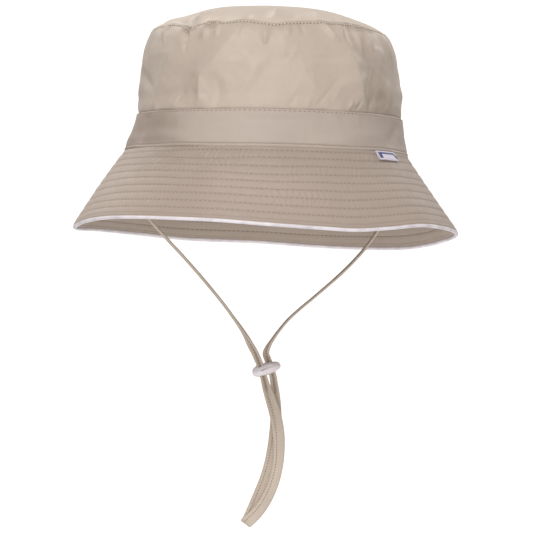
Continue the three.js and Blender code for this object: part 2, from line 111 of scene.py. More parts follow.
# A smooth curve through the rows of a table. The first three columns, or all of them, set its pace.
def splineRows(rows, samples=24, pace=1.0):
    rows = np.asarray(rows, float)
    ends = np.vstack([2 * rows[0] - rows[1], rows, 2 * rows[-1] - rows[-2]])
    share = np.linspace(0, 1, samples, endpoint=False)[:, None]
    t2, t3 = share ** 2, share ** 3
    out = []
    for i in range(1, len(ends) - 2):
        a, b, c, d = ends[i - 1:i + 3]
        gap = [np.linalg.norm((q - p)[:3]) ** pace for p, q in ((a, b), (b, c), (c, d))]
        into = ((b - a) / gap[0] - (c - a) / (gap[0] + gap[1]) + (c - b) / gap[1]) * gap[1]
        away = ((c - b) / gap[1] - (d - b) / (gap[1] + gap[2]) + (d - c) / gap[2]) * gap[1]
        out.append((2 * t3 - 3 * t2 + 1) * b + (t3 - 2 * t2 + share) * into
                   + (3 * t2 - 2 * t3) * c + (t3 - t2) * away)
    return np.vstack(out + [rows[-1:]])


def runLength(points):
    steps = np.linalg.norm(np.diff(points, axis=0), axis=-1)
    return np.concatenate([np.zeros((1,) + steps.shape[1:]), np.cumsum(steps, axis=0)])


def resample(rows, places, columns):
    far = runLength(rows[:, :columns])
    return np.stack([np.interp(places, far, rows[:, k]) for k in range(rows.shape[1])], -1)


# Places along a length, finer near its ends.
def gradedPlaces(total, fine, coarse, zone):
    place, out = 0.0, [0.0]
    while place < total:
        near = min(place, total - place) / zone
        place += lerp(fine, coarse, min(1.0, max(0.0, near)))
        out.append(place)
    return np.array(out) * total / out[-1]


# Angles round the hat from behind, over the front, to behind again, finer in front.
def gradedAngles(fine, coarse, half):
    front = np.linspace(-half, half, round(2 * half / fine), endpoint=False)
    left = np.linspace(-180, -half, round((180 - half) / coarse), endpoint=False)
    right = np.linspace(half, 180, round((180 - half) / coarse), endpoint=False)
    return np.concatenate([left, front, right])


def evenAngles(columns):
    return (np.arange(columns) * 360 / columns - 180)[None, :]


# Smooth seeded noise between -1 and 1 that closes on itself after "wrap" cells of x.
def softNoise(x, y, seed, wrap=256, tall=64):
    x, y = np.broadcast_arrays(x, y)
    table = np.random.default_rng(seed).uniform(-1, 1, (wrap, tall))
    xi, yi = np.floor(x).astype(int), np.floor(y).astype(int)
    fx, fy = x - xi, y - yi
    fx = fx ** 3 * (fx * (fx * 6 - 15) + 10)
    fy = fy ** 3 * (fy * (fy * 6 - 15) + 10)
    left, right = xi % wrap, (xi + 1) % wrap
    foot, head = yi % tall, (yi + 1) % tall
    low = lerp(table[left, foot], table[right, foot], fx)
    high = lerp(table[left, head], table[right, head], fx)
    return lerp(low, high, fy)


# The same noise round the hat, in cells about "wide" millimetres long.
def ringNoise(angle, y, wide, seed, around=480):
    cells = max(4, round(around / wide))
    return softNoise(angle / 360 * cells, y, seed, cells)


ovalExtra = 9  # every ring is this much deeper than wide, to each side


def ovalPoints(half, angle, height):
    a = np.radians(angle)
    return np.stack(np.broadcast_arrays(
        half * np.sin(a), -(half + ovalExtra) * np.cos(a), height + 0 * a), -1)


# Outward normals of a grid of points [level, column, xyz] that closes along its columns.
def gridNormals(grid):
    along = np.roll(grid, -1, 1) - np.roll(grid, 1, 1)
    up = np.gradient(grid, axis=0)
    normal = np.cross(along, up)
    return normal / np.maximum(np.linalg.norm(normal, axis=-1, keepdims=True), tiny)


# Meshes.
def makeObject(name, points, faces, faceUv, shade, material):
    mesh = plainMesh(name, (np.asarray(points) * mm).tolist(), faces)
    layer = mesh.uv_layers.new(name="cloth")
    layer.data.foreach_set("uv", np.asarray(faceUv, dtype=np.float32).ravel())
    # painted shade per point, which the materials mix into the base colour
    shadow = mesh.attributes.new("paintedShade", "FLOAT", "POINT")
    if shade is not None:
        shadow.data.foreach_set("value", np.asarray(shade, dtype=np.float32).ravel())
    mesh.shade_smooth()
    mesh.materials.append(material)
    return linkObject(name, mesh)


# Quads of a grid of levels and columns. Either way round may be closed.
def gridQuads(levels, columns, closed=True, wrapLevels=False):
    rows = levels if wrapLevels else levels - 1
    cols = columns if closed else columns - 1
    i, j = np.meshgrid(np.arange(rows), np.arange(cols), indexing="ij")
    corners = [(i, j), (i, j + 1), (i + 1, j + 1), (i + 1, j)]
    index = [(a % levels) * columns + b % columns for a, b in corners]
    return np.stack(index, -1).reshape(-1, 4), corners


# Triangles from each end of a stack of rings to its pole. "base" is the last ring's first point.
def poleCaps(low, high, base, columns):
    foot = [(low, (k + 1) % columns, k) for k in range(columns)]
    return foot + [(high, base + k, base + (k + 1) % columns) for k in range(columns)]


# UV in metres: u runs round the hat from its front, v along the section.
def gridUv(grid, corners):
    ring = np.concatenate([grid, grid[:, :1]], 1)
    u = runLength(ring.transpose(1, 0, 2)).T
    u = u - u[:, [grid.shape[1] // 2]]
    rise = np.linalg.norm(np.roll(grid, -1, 0) - grid, axis=-1).mean(1)
    v = np.concatenate([[0], np.cumsum(rise)])
    u = np.concatenate([u, u[:1]], 0)
    return np.stack([np.stack([u[a, b], v[a]], -1) for a, b in corners], 2).reshape(-1, 2) * mm


# Half-round rim that joins the outer skin to the inner one past the edge.
def rimRows(edge, beyond, normal, thick):
    direction = unit(edge - beyond)
    middle = edge - normal * thick / 2
    return [middle + (normal * math.cos(a) + direction * math.sin(a)) * thick / 2
            for a in (math.pi / 4, math.pi / 2, math.pi * 3 / 4)]


insideShade = 0.6  # painted shade: share of the outer skin's painted shade that a wall's inner skin gets, and the painted shade of a dome's rim


# A wall of cloth: outer skin, rounded rim, inner skin back down, rounded rim.
def clothWall(name, outer, thick, innerStep, shade, material):
    normal = gridNormals(outer)
    last = len(outer) - 1
    picks = sorted(set(range(0, last, innerStep)) | {last}, reverse=True)
    top = rimRows(outer[-1], outer[-2], normal[-1], thick)
    foot = rimRows(outer[0], outer[1], normal[0], thick)[::-1]
    inner = [outer[k] - normal[k] * thick for k in picks]
    rows = np.stack(list(outer) + top + inner + foot)
    full = np.zeros(rows.shape[:2])
    full[:len(outer)] = shade
    inside = len(outer) + len(top)
    full[inside:inside + len(picks)] = shade[picks] * insideShade
    faces, corners = gridQuads(len(rows), rows.shape[1], True, True)
    uv = gridUv(rows, corners)
    return makeObject(name, rows.reshape(-1, 3), faces.tolist(), uv, full, material)


# Shader maths.
class Wire:
    def __init__(self, shader, socket):
        self.shader, self.socket = shader, socket

    def __add__(self, other):
        return self.shader.maths("ADD", self, other)

    def __sub__(self, other):
        return self.shader.maths("SUBTRACT", self, other)

    def __rsub__(self, other):
        return self.shader.maths("SUBTRACT", other, self)

    def __mul__(self, other):
        return self.shader.maths("MULTIPLY", self, other)

    __radd__, __rmul__ = __add__, __mul__


class Shader:
    def __init__(self, name, constants):
        self.material = bpy.data.materials.new(name)
        self.material.use_nodes = True
        self.tree = self.material.node_tree
        self.surface = self.tree.nodes["Principled BSDF"]
        for socket, value in constants.items():
            self.surface.inputs[socket].default_value = value

    def add(self, kind, settings, sockets, out=0):
        node = self.tree.nodes.new(kind)
        for key, value in settings.items():
            setattr(node, key, value)
        for key, value in sockets.items():
            self.feed(node.inputs[key], value)
        return Wire(self, node.outputs[out])

    def feed(self, socket, value):
        if isinstance(value, Wire):
            self.tree.links.new(value.socket, socket)
        else:
            socket.default_value = value

    def maths(self, operation, *values):
        return self.add("ShaderNodeMath", {"operation": operation}, dict(enumerate(values)))

    # Where a point lies on its piece.
    def place(self):
        return self.add("ShaderNodeTexCoord", {}, {}, "Object")

    # The cloth's UV map, in metres, and its parts round the hat and along the section.
    def clothMap(self):
        uv = self.add("ShaderNodeUVMap", {"uv_map": "cloth"}, {}, "UV")
        apart = self.add("ShaderNodeSeparateXYZ", {}, {"Vector": uv}, "X")
        return uv, apart, Wire(self, apart.socket.node.outputs["Y"])

    # Painted shade: how far the mesh darkens a point's base colour.
    def paintedShade(self):
        return self.add("ShaderNodeAttribute", {"attribute_name": "paintedShade"}, {}, "Fac")

    def mixColour(self, share, a, b):
        return self.add("ShaderNodeMix", {"data_type": "RGBA"}, {0: share, 6: a, 7: b}, 2)

    def noise(self, place, scale, detail=2.0, rough=0.5):
        return self.add("ShaderNodeTexNoise", {}, {
            "Vector": place, "Scale": scale, "Detail": detail, "Roughness": rough}, "Fac")

    def spread(self, value, low, high):
        return self.add("ShaderNodeMapRange", {"interpolation_type": "SMOOTHSTEP"},
                        {"Value": value, "From Min": low, "From Max": high})

    def stretched(self, place, x, y, z):
        return self.add("ShaderNodeVectorMath", {"operation": "MULTIPLY"}, {0: place, 1: (x, y, z)})

    def bump(self, height, distance, strength, under=None):
        sockets = {"Height": height, "Distance": distance, "Strength": strength}
        if under:
            sockets["Normal"] = under
        return self.add("ShaderNodeBump", {}, sockets)

    def set(self, socket, value):
        self.feed(self.surface.inputs[socket], value)


clothValues = {
    # The crown's and band's deep tones tint their painted shade warmer.
    "crown": {"light": (0.485, 0.412, 0.354), "dark": (0.44, 0.372, 0.316), "rough": 0.48,
              "deep": (0.42, 0.33, 0.25)},
    # The tip is the same cloth as the crown; its lighter tone is painted light from above.
    "tip": {"light": (0.575, 0.493, 0.42), "dark": (0.53, 0.451, 0.382), "rough": 0.48},
    "band": {"light": (0.432, 0.365, 0.319), "dark": (0.397, 0.333, 0.292), "rough": 0.5,
             "deep": (0.42, 0.33, 0.25)},
    # The brim's tone is set lighter and darkened again by painted shade everywhere but its far left, so
    # that the far left reads lit.
    "brim": {"light": (0.489, 0.4, 0.339), "dark": (0.447, 0.362, 0.305), "rough": 0.54},
    "tape": {"light": (0.56, 0.478, 0.402), "dark": (0.5, 0.422, 0.352), "rough": 0.58},
    "deep": (0.34, 0.34, 0.34),  # painted shade: share of the dark tone that seams, hollows, grooves and folds are darkened towards
    "threadPitch": 0.00034,  # metres between yarns
    "weaveDepth": 0.00003, "unevenDepth": 0.0006,
    "slub": (2600, 90),  # cells a metre of the yarn's thick places, across it and along it
    "patches": 22, "mottles": 260, "uneven": 90,  # cells a metre
    "patchSpread": (0.3, 0.7), "mottleSpread": (0.35, 0.65), "yarnSpread": (0.8, 1.25),
    "mottleShare": 0.22, "slubShare": 0.12,
    "roughSpread": (0.3, 0.7), "mottleRough": 0.1, "shadeRough": 0.12,
    "weaveLift": 0.5, "yarnLift": 0.6, "weaveStrength": 0.5, "unevenStrength": 0.25,
}


# Plain-woven polyester with a soft sheen, darkened towards a painted shade tone where the mesh holds
# painted shade. The weave follows the cloth's own UV map.
def clothMaterial(name, tones, values):
    s = Shader(name, {"IOR": 1.45, "Specular IOR Level": 0.42, "Sheen Weight": 0.04,
                      "Sheen Roughness": 0.4})
    uv, across, down = s.clothMap()
    place, shade = s.place(), s.paintedShade()
    step = fullTurn / values["threadPitch"]
    weave = s.maths("SINE", across * step) * s.maths("SINE", down * step)
    thickest, longest = values["slub"]
    warp = s.noise(s.stretched(uv, thickest, longest, 1), 1, 2)
    weft = s.noise(s.stretched(uv, longest, thickest, 1), 1, 2)
    yarn = warp + weft
    patch = s.noise(place, values["patches"], 3)
    mottle = s.noise(place, values["mottles"], 2)
    light, dark = (*tones["light"], 1), (*tones["dark"], 1)
    tone = s.mixColour(s.spread(patch, *values["patchSpread"]), light, dark)
    tone = s.mixColour(s.spread(mottle, *values["mottleSpread"]) * values["mottleShare"], tone, dark)
    tone = s.mixColour(s.spread(yarn, *values["yarnSpread"]) * values["slubShare"], tone, dark)
    # painted shade: the base colour darkens towards the deep tone as far as the mesh says
    share = tones.get("deep", values["deep"])
    deep = (*(c * k for c, k in zip(tones["dark"], share)), 1)
    s.set("Base Color", s.mixColour(shade, tone, deep))
    rough = tones["rough"] + values["mottleRough"] * s.spread(mottle, *values["roughSpread"])
    s.set("Roughness", rough + values["shadeRough"] * shade)
    high = weave * values["weaveLift"] + yarn * values["yarnLift"]
    fine = s.bump(high, values["weaveDepth"], values["weaveStrength"])
    uneven = s.noise(place, values["uneven"], 3, 0.55)
    s.set("Normal", s.bump(uneven, values["unevenDepth"], values["unevenStrength"], fine))
    return s.material


threadValues = {
    "twists": 2400,  # cells a metre
    "twistSpread": (0.35, 0.65), "twistDepth": 0.00004, "twistStrength": 0.5,
    "rough": 0.42, "twistRough": 0.16,
    # Both threads have their own beige tone, made lighter than the cloth as a painted highlight on the
    # stitches.
    "beige": ((0.56, 0.48, 0.4), (0.42, 0.35, 0.29)),  # light and dark tone
    "pale": ((0.68, 0.6, 0.49), (0.52, 0.45, 0.36)),
    # near-black tones of beads that stand for the shadow in needle holes: painted shadow
    "hole": ((0.19, 0.15, 0.118), (0.14, 0.108, 0.083)),
    "strapHole": ((0.235, 0.18, 0.135), (0.175, 0.132, 0.1)),
    "quiltHole": ((0.3, 0.222, 0.158), (0.23, 0.165, 0.115)),
}


def threadMaterial(name, tones, values):
    light, dark = values[tones]
    s = Shader(name, {"IOR": 1.48, "Specular IOR Level": 0.5})
    twist = s.noise(s.place(), values["twists"], 1)
    s.set("Base Color", s.mixColour(s.spread(twist, *values["twistSpread"]), (*light, 1), (*dark, 1)))
    s.set("Roughness", values["rough"] + values["twistRough"] * twist)
    s.set("Normal", s.bump(twist, values["twistDepth"], values["twistStrength"]))
    return s.material


crownCloth = clothMaterial("beige crown polyester", clothValues["crown"], clothValues)
tipCloth = clothMaterial("beige tip polyester", clothValues["tip"], clothValues)
bandCloth = clothMaterial("beige band polyester", clothValues["band"], clothValues)
brimCloth = clothMaterial("beige quilted polyester", clothValues["brim"], clothValues)
tapeCloth = clothMaterial("beige strap tape", clothValues["tape"], clothValues)
beigeThread = threadMaterial("beige thread", "beige", threadValues)
seamThread = threadMaterial("pale seam thread", "pale", threadValues)
# the needle hole materials are painted shadow
holeShade = threadMaterial("needle hole", "hole", threadValues)
strapHoleShade = threadMaterial("strap needle hole", "strapHole", threadValues)
softHoleShade = threadMaterial("quilting needle hole", "quiltHole", threadValues)
print("materials made")


# Stitches.
# One tree for every row of stitches: it walks each rail and lays a thread on it at each step.
def stitchTree():
    tree = bpy.data.node_groups.new("stitchRow", "GeometryNodeTree")
    face = tree.interface
    face.new_socket(name="Rail", in_out="INPUT", socket_type="NodeSocketGeometry")
    for name, kind in (("Long", "Float"), ("Wide", "Float"), ("High", "Float"), ("Lift", "Float"),
                       ("Lean", "Float"), ("Seed", "Int"), ("Thread", "Material")):
        face.new_socket(name=name, in_out="INPUT", socket_type="NodeSocket" + kind)
    face.new_socket(name="Stitches", in_out="OUTPUT", socket_type="NodeSocketGeometry")

    def add(kind, settings=None, sockets=None):
        node = tree.nodes.new(kind)
        for key, value in (settings or {}).items():
            setattr(node, key, value)
        for key, value in (sockets or {}).items():
            if isinstance(value, bpy.types.NodeSocket):
                tree.links.new(value, node.inputs[key])
            else:
                node.inputs[key].default_value = value
        return node

    given = add("NodeGroupInput").outputs
    count = add("GeometryNodeInputNamedAttribute", {"data_type": "INT"}, {"Name": "stitches"})
    outward = add("GeometryNodeInputNamedAttribute", {"data_type": "FLOAT_VECTOR"}, {"Name": "outward"})
    curve = add("GeometryNodeMeshToCurve", None, {"Mesh": given["Rail"]})
    steps = add("GeometryNodeResampleCurve", {"mode": "COUNT"},
                {"Curve": curve.outputs[0], "Count": count.outputs[0]})
    lift = add("ShaderNodeVectorMath", {"operation": "SCALE"},
               {0: outward.outputs[0], "Scale": given["Lift"]})
    raised = add("GeometryNodeSetPosition", None,
                 {"Geometry": steps.outputs[0], "Offset": lift.outputs[0]})
    along = add("GeometryNodeInputTangent")
    ahead = add("FunctionNodeAlignRotationToVector", {"axis": "X"}, {"Vector": along.outputs[0]})
    laid = add("FunctionNodeAlignRotationToVector", {"axis": "Z", "pivot_axis": "X"},
               {"Rotation": ahead.outputs[0], "Vector": outward.outputs[0]})
    chance = add("FunctionNodeRandomValue", {"data_type": "FLOAT"},
                 {2: -1.0, 3: 1.0, "Seed": given["Seed"]})
    lean = add("ShaderNodeMath", {"operation": "MULTIPLY"},
               {0: chance.outputs[1], 1: given["Lean"]})
    turn = add("ShaderNodeCombineXYZ", None, {"Z": lean.outputs[0]})
    leaned = add("FunctionNodeRotateRotation", {"rotation_space": "LOCAL"},
                 {0: laid.outputs[0], 1: turn.outputs[0]})
    size = add("ShaderNodeCombineXYZ", None,
               {"X": given["Long"], "Y": given["Wide"], "Z": given["High"]})
    bead = add("GeometryNodeMeshUVSphere", None, {"Segments": 6, "Rings": 3, "Radius": 0.5})
    lying = add("GeometryNodeTransform", None,
                {"Geometry": bead.outputs[0], "Rotation": (0, math.pi / 2, 0)})
    sized = add("GeometryNodeTransform", None,
                {"Geometry": lying.outputs[0], "Scale": size.outputs[0]})
    rows = add("GeometryNodeInstanceOnPoints", None,
               {"Points": raised.outputs[0], "Instance": sized.outputs[0],
                "Rotation": leaned.outputs[0]})
    real = add("GeometryNodeRealizeInstances", None, {"Geometry": rows.outputs[0]})
    smooth = add("GeometryNodeSetShadeSmooth", None, {"Geometry": real.outputs[0]})
    painted = add("GeometryNodeSetMaterial", None,
                  {"Geometry": smooth.outputs[0], "Material": given["Thread"]})
    add("NodeGroupOutput", None, {"Stitches": painted.outputs[0]})
    return tree


stitchNodes = stitchTree()


# Rails are lists of (points, normals, stitch count), closed loops or open runs.
def sewRows(name, rails, closed, values, thread):
    points, edges, normals, counts = [], [], [], []
    for path, outward, count in rails:
        first = len(points)
        points.extend((path * mm).tolist())
        normals.extend(outward.tolist())
        counts.extend([count] * len(path))
        edges.extend((first + k, first + k + 1) for k in range(len(path) - 1))
        if closed:
            edges.append((first + len(path) - 1, first))
    mesh = plainMesh(name + "Rail", points, [], edges)
    mesh.attributes.new("outward", "FLOAT_VECTOR", "POINT").data.foreach_set(
        "vector", np.array(normals, dtype=np.float32).ravel())
    mesh.attributes.new("stitches", "INT", "POINT").data.foreach_set("value", counts)
    rail = linkObject(name + "Rail", mesh)
    sewing = rail.modifiers.new("sewing", "NODES")
    sewing.node_group = stitchNodes
    sockets = {item.name: item.identifier for item in stitchNodes.interface.items_tree}
    for key, value in values.items():
        sewing[sockets[key]] = value * mm if key in ("Long", "Wide", "High", "Lift") else value
    sewing[sockets["Thread"]] = thread
    done = rail.evaluated_get(bpy.context.evaluated_depsgraph_get())
    piece = linkObject(name, bpy.data.meshes.new_from_object(done))
    bpy.data.objects.remove(rail)
    return piece


# Sizes of a stitch, or of a dark bead of painted shadow in a needle hole, its lift off the cloth, how far
# it leans at random, and its seed.
def bead(long, wide, high, lift, lean, seed):
    return {"Long": long, "Wide": wide, "High": high, "Lift": lift, "Lean": lean, "Seed": seed}


def dressed(piece, slot, *nodes):
    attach(piece, "root")
    if nodes:
        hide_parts(*nodes)


# Chin strap.
strapValues = {
    "wide": 6.5,
    "thick": 1.0,
    "foldTurn": 57,  # degrees each half turns forward where the tape is folded lengthwise
    "foldSoft": 0.16, "flatSoft": 0.6,  # of the half width, how round the fold's line is
    "step": 0.8,
    "left": (-0.97, -0.86, -0.62),  # of the half width, from the tape's left edge
    "right": (-0.08, 0.0, 0.08, 0.3, 0.6, 0.86, 0.97),
    "seamAt": -0.4, "besideSeam": 0.12,
    "swell": {-0.86: 0.1, 0.86: 0.1, -0.62: 0.05, 0.6: 0.03, -0.4: -0.08},
    # the last value below is painted shade along the stitch line, on both faces
    "edgeThin": 0.72, "edgeRound": 0.22, "paintedShade": 0.12,
    "stitchPitch": 1.62, "seamSunk": 0.12,
    "thread": bead(0.85, 0.46, 0.34, 0.04, 0.06, 3),
    # the hole beads are painted shadow in the needle holes
    "hole": bead(0.72, 0.8, 0.38, 0.04, 0.06, 4),
}

# Middle line of the tape: x, y, z, the turn of its width from the X axis, how much that width dips
# towards +X, and how much the tape is folded lengthwise.
tapeRows = [
    (-74, 0, 3.4, 90, 0, 0), (-74.6, 0, -3.4, 90, 0, 0), (-73.8, 0, -15, 88, 0, 0),
    (-70.6, -0.2, -28, 85, 0, 0), (-65.2, -0.5, -38.2, 83, 0, 0), (-56.2, -0.8, -48, 82, 0, 0),
    (-43.1, -1, -61.6, 82, 0, 0), (-29.8, -1.3, -76.4, 82, 0, 0), (-19.4, -1.8, -88.8, 82, 0, 0.1),
    (-9.9, -2.8, -101.6, 74, 0, 0.5), (-5, -3.6, -109.6, 36, 0, 0.9),
    (-1.65, -3.95, -117.16, 8, 0, 1), (-0.88, -3.95, -119.53, 0, 0, 1),
    (0.67, -3.95, -124.29, 0, 0, 1), (1.44, -3.95, -126.67, 2, 0, 1), (2.7, -4.3, -131, 4, 0, 0.85),
    (4.9, -5, -137.2, 5, 0, 0.6), (7.7, -6, -145.2, 3, 0, 0.3), (9.8, -6.4, -154.6, 0, 0, 0.1),
    (10.7, -6.5, -165, -3, 0, -0.3), (10.2, -6.3, -175, -5, 0, -0.4), (7.9, -5.9, -185.6, -6, 0, -0.4),
    (3.6, -5.3, -195.6, -6, 0, -0.3), (-1.4, -4.6, -202.6, -5, 37, -0.15), (-5.6, -3.8, -206.8, -3, 37, 0),
    (-7.2, -2.5, -208.3, 0, 37, 0), (-6.1, -1.3, -206.8, 2, 37, 0), (-3.9, -0.7, -202, 2, 37, 0),
    (-0.4, -0.1, -193.4, 2, 0, 0), (3.4, 0.5, -183.4, 2, 0, 0), (6.2, 0.9, -173, 2, 0, 0),
    (7.9, 1.2, -162, 2, 0, 0.1), (8.6, 1.2, -151, 0, 0, 0.3), (8.3, 0.9, -140, -2, 0, 0.6),
    (7.4, 0.3, -131, 0, 0, 0.9), (6.38, -0.05, -125.05, 0, 0, 1), (5.61, -0.05, -122.68, 0, 0, 1),
    (4.06, -0.05, -117.92, 0, 0, 1), (3.29, -0.05, -115.55, 8, 0, 1),
    (2.9, -0.1, -111.6, 58, 0, 0.8), (4.6, -0.3, -107.2, 76, 0, 0.4),
    (13.4, -0.5, -94.6, 82, 0, 0.1), (20.8, -0.5, -87.2, 82, 0, 0), (29.1, -0.5, -80, 82, 0, 0),
    (45.4, -0.5, -65, 80, 0, 0), (57, -0.4, -52, 80, 0, 0), (63.6, -0.3, -42, 81, 0, 0),
    (69.6, -0.2, -29, 84, 0, 0), (73.6, 0, -15.5, 88, 0, 0), (74.6, 0, -3.4, 90, 0, 0),
    (74, 0, 3.4, 90, 0, 0),
]


# Middle points, and the tape's own directions: along it, across it, and out of its face.
def tapeFrame(values):
    dense = splineRows(tapeRows, 24, 0.5)
    total = runLength(dense[:, :3])[-1]
    rows = resample(dense, np.linspace(0, total, round(total / values["step"])), 3)
    middle, fold = rows[:, :3], rows[:, 5]
    facing, lean = np.radians(rows[:, 3]), np.radians(rows[:, 4])
    along = unit(np.gradient(middle, axis=0))
    level = np.cos(facing)
    wide = np.stack([level * np.cos(lean), -np.sin(facing), -level * np.sin(lean)], -1)
    wide = unit(wide - along * (wide * along).sum(1, keepdims=True))
    return middle, along, wide, np.cross(along, wide), fold, total


# Point of the tape's middle layer at a share across it, and its normal there.
def tapeLayer(tape, across, values):
    middle, _, wide, thick, fold, _ = tape
    turn = np.radians(values["foldTurn"]) * fold
    front = np.where(thick[:, 1] < 0, 1.0, -1.0)  # the fold opens towards the front
    half = values["wide"] / 2
    bend = np.hypot(across, np.where(fold > 0, values["foldSoft"], values["flatSoft"]))
    sideways = half * across * np.cos(turn)
    forward = half * (bend - 0.5) * np.sin(turn) * front
    point = middle + wide * sideways[:, None] + thick * forward[:, None]
    tilt = -across / bend * np.tan(turn) * front
    return point, unit(thick + wide * tilt[:, None])


def makeStrap(values):
    tape = tapeFrame(values)
    seam, beside, thick = values["seamAt"], values["besideSeam"], values["thick"]
    shares = [*values["left"], seam - beside, seam, seam + beside, *values["right"]]
    outermost = shares[-1]
    faces = [[], []]
    for share in shares:
        point, normal = tapeLayer(tape, share, values)
        rim = thick / 2 * (values["edgeThin"] if abs(share) == outermost else 1)
        rim += values["swell"].get(share, 0)
        faces[0].append(point + normal * rim)
        faces[1].append(point - normal * rim)
    edges = []
    for sign in (1, -1):
        point, normal = tapeLayer(tape, outermost * sign, values)
        out = np.cross(normal, tape[1]) * -sign
        out *= np.sign((out * tape[2]).sum(1, keepdims=True)) * sign
        edges.append(point + out * values["edgeRound"])
    loop = faces[0] + [edges[0]] + faces[1][::-1] + [edges[1]]
    grid = np.stack(loop, 1)  # [step, loop, xyz]
    steps, sides = grid.shape[:2]
    quads, corners = gridQuads(steps, sides)
    size = steps * sides
    points = np.vstack([grid.reshape(-1, 3), grid[0].mean(0), grid[-1].mean(0)])
    run = runLength(tape[0])
    girth = runLength(np.vstack([grid[steps // 2], grid[steps // 2, :1]]))
    uv = np.stack([np.stack([girth[b], run[a]], -1) for a, b in corners], 2).reshape(-1, 2)
    caps = poleCaps(size, size + 1, size - sides, sides)
    uv = np.vstack([uv, np.zeros((len(caps) * 3, 2))]) * mm
    # painted shade along the stitch line on both faces
    seamColumn = len(values["left"]) + 1
    shade = np.zeros(len(points))
    shade[:size].reshape(steps, sides)[:, [seamColumn, sides - 2 - seamColumn]] = values["paintedShade"]
    piece = makeObject("chinStrap", points, quads.tolist() + caps, uv, shade, tapeCloth)
    piece.data.flip_normals()
    count = round(tape[5] / values["stitchPitch"])
    point, normal = tapeLayer(tape, seam, values)
    sewn = []
    # thread, and dark beads between the stitches as painted shadow in the needle holes
    for label, start, sizes, material in (("Stitches", 0, values["thread"], beigeThread),
                                          ("Holes", 1, values["hole"], strapHoleShade)):
        rails = []
        for side in (1, -1):
            path = point + normal * side * (thick / 2 - values["seamSunk"])
            rails.append((path[start:], normal[start:] * side, count))
        sewn.append(sewRows("strap" + label, rails, False, sizes, material))
    return piece, sewn, tape


chinStrap, strapSewing, tape = makeStrap(strapValues)
dressed(chinStrap, "strap_tape", "chin_strap")
for sewn in strapSewing:
    dressed(sewn, "strap_tape")
print("strap made,", round(tape[5], 1), "mm")


# Stopper.
stopperValues = {
    "long": 16.4, "deep": 9.2, "high": 7.1,
    "levels": 40, "columns": 80,
    "roundness": ((0.55, 0.75), (0.72, 0.94), 0.85),  # powers of the bean along, across and upwards
    "place": (2.7, -2, -121.3),
    "rise": 18.5,  # right end up
    "nod": 3,  # top towards the front
    "taper": 0.2, "taperFrom": (-0.2, 0.5),  # of the right end, over these shares of the length
    "lip": 0.45,  # how far the front stands out below the slit
    "lipFrom": (0.6, -1), "lipDeep": 3,  # down past the slit's middle, and forwards from the bean's
    "slit": (1.9, 0.8, 10.2, 0.6, 0.95, 8),  # of the front: x, z, length, height, depth and rise
    "eyes": ((-2.9, -1.95), (2.3, 1.95)),
    "eyeLong": 4.5, "eyeDeep": 3.1, "eyeHigh": 20,
    "grain": 0.16, "ease": 0.6, "easings": 5,  # of the remeshed skin
    "light": (0.76, 0.715, 0.745, 1), "dark": (0.69, 0.645, 0.675, 1),
    "clouds": 180, "grains": 2200,  # cells a metre
    "rough": 0.36, "cloudRough": 0.16,
}


def stopperMaterial(values):
    s = Shader("soft white plastic", {"IOR": 1.46, "Specular IOR Level": 0.5,
                                      "Subsurface Weight": 0.12, "Subsurface Scale": 0.002})
    place = s.place()
    cloud = s.noise(place, values["clouds"], 3)
    grain = s.noise(place, values["grains"], 2)
    s.set("Base Color", s.mixColour(s.spread(cloud, 0.3, 0.7), values["light"], values["dark"]))
    s.set("Roughness", values["rough"] + values["cloudRough"] * cloud)
    s.set("Normal", s.bump(grain, 0.00005, 0.35, s.bump(cloud, 0.0003, 0.2)))
    return s.material


def ovalColumn(name, x, y, long, deep, high, count=40):
    angle = np.linspace(0, fullTurn, count, endpoint=False)
    side = np.sign(np.cos(angle)) * (long - deep) / 2
    ring = np.stack([x + side + np.cos(angle) * deep / 2, y + np.sin(angle) * deep / 2], -1)
    points = [(*p, -high / 2) for p in ring] + [(*p, high / 2) for p in ring]
    faces = [(k, (k + 1) % count, count + (k + 1) % count, count + k) for k in range(count)]
    faces += [tuple(range(count))[::-1], tuple(range(count, 2 * count))]
    return linkObject(name, plainMesh(name, (np.array(points) * mm).tolist(), faces))


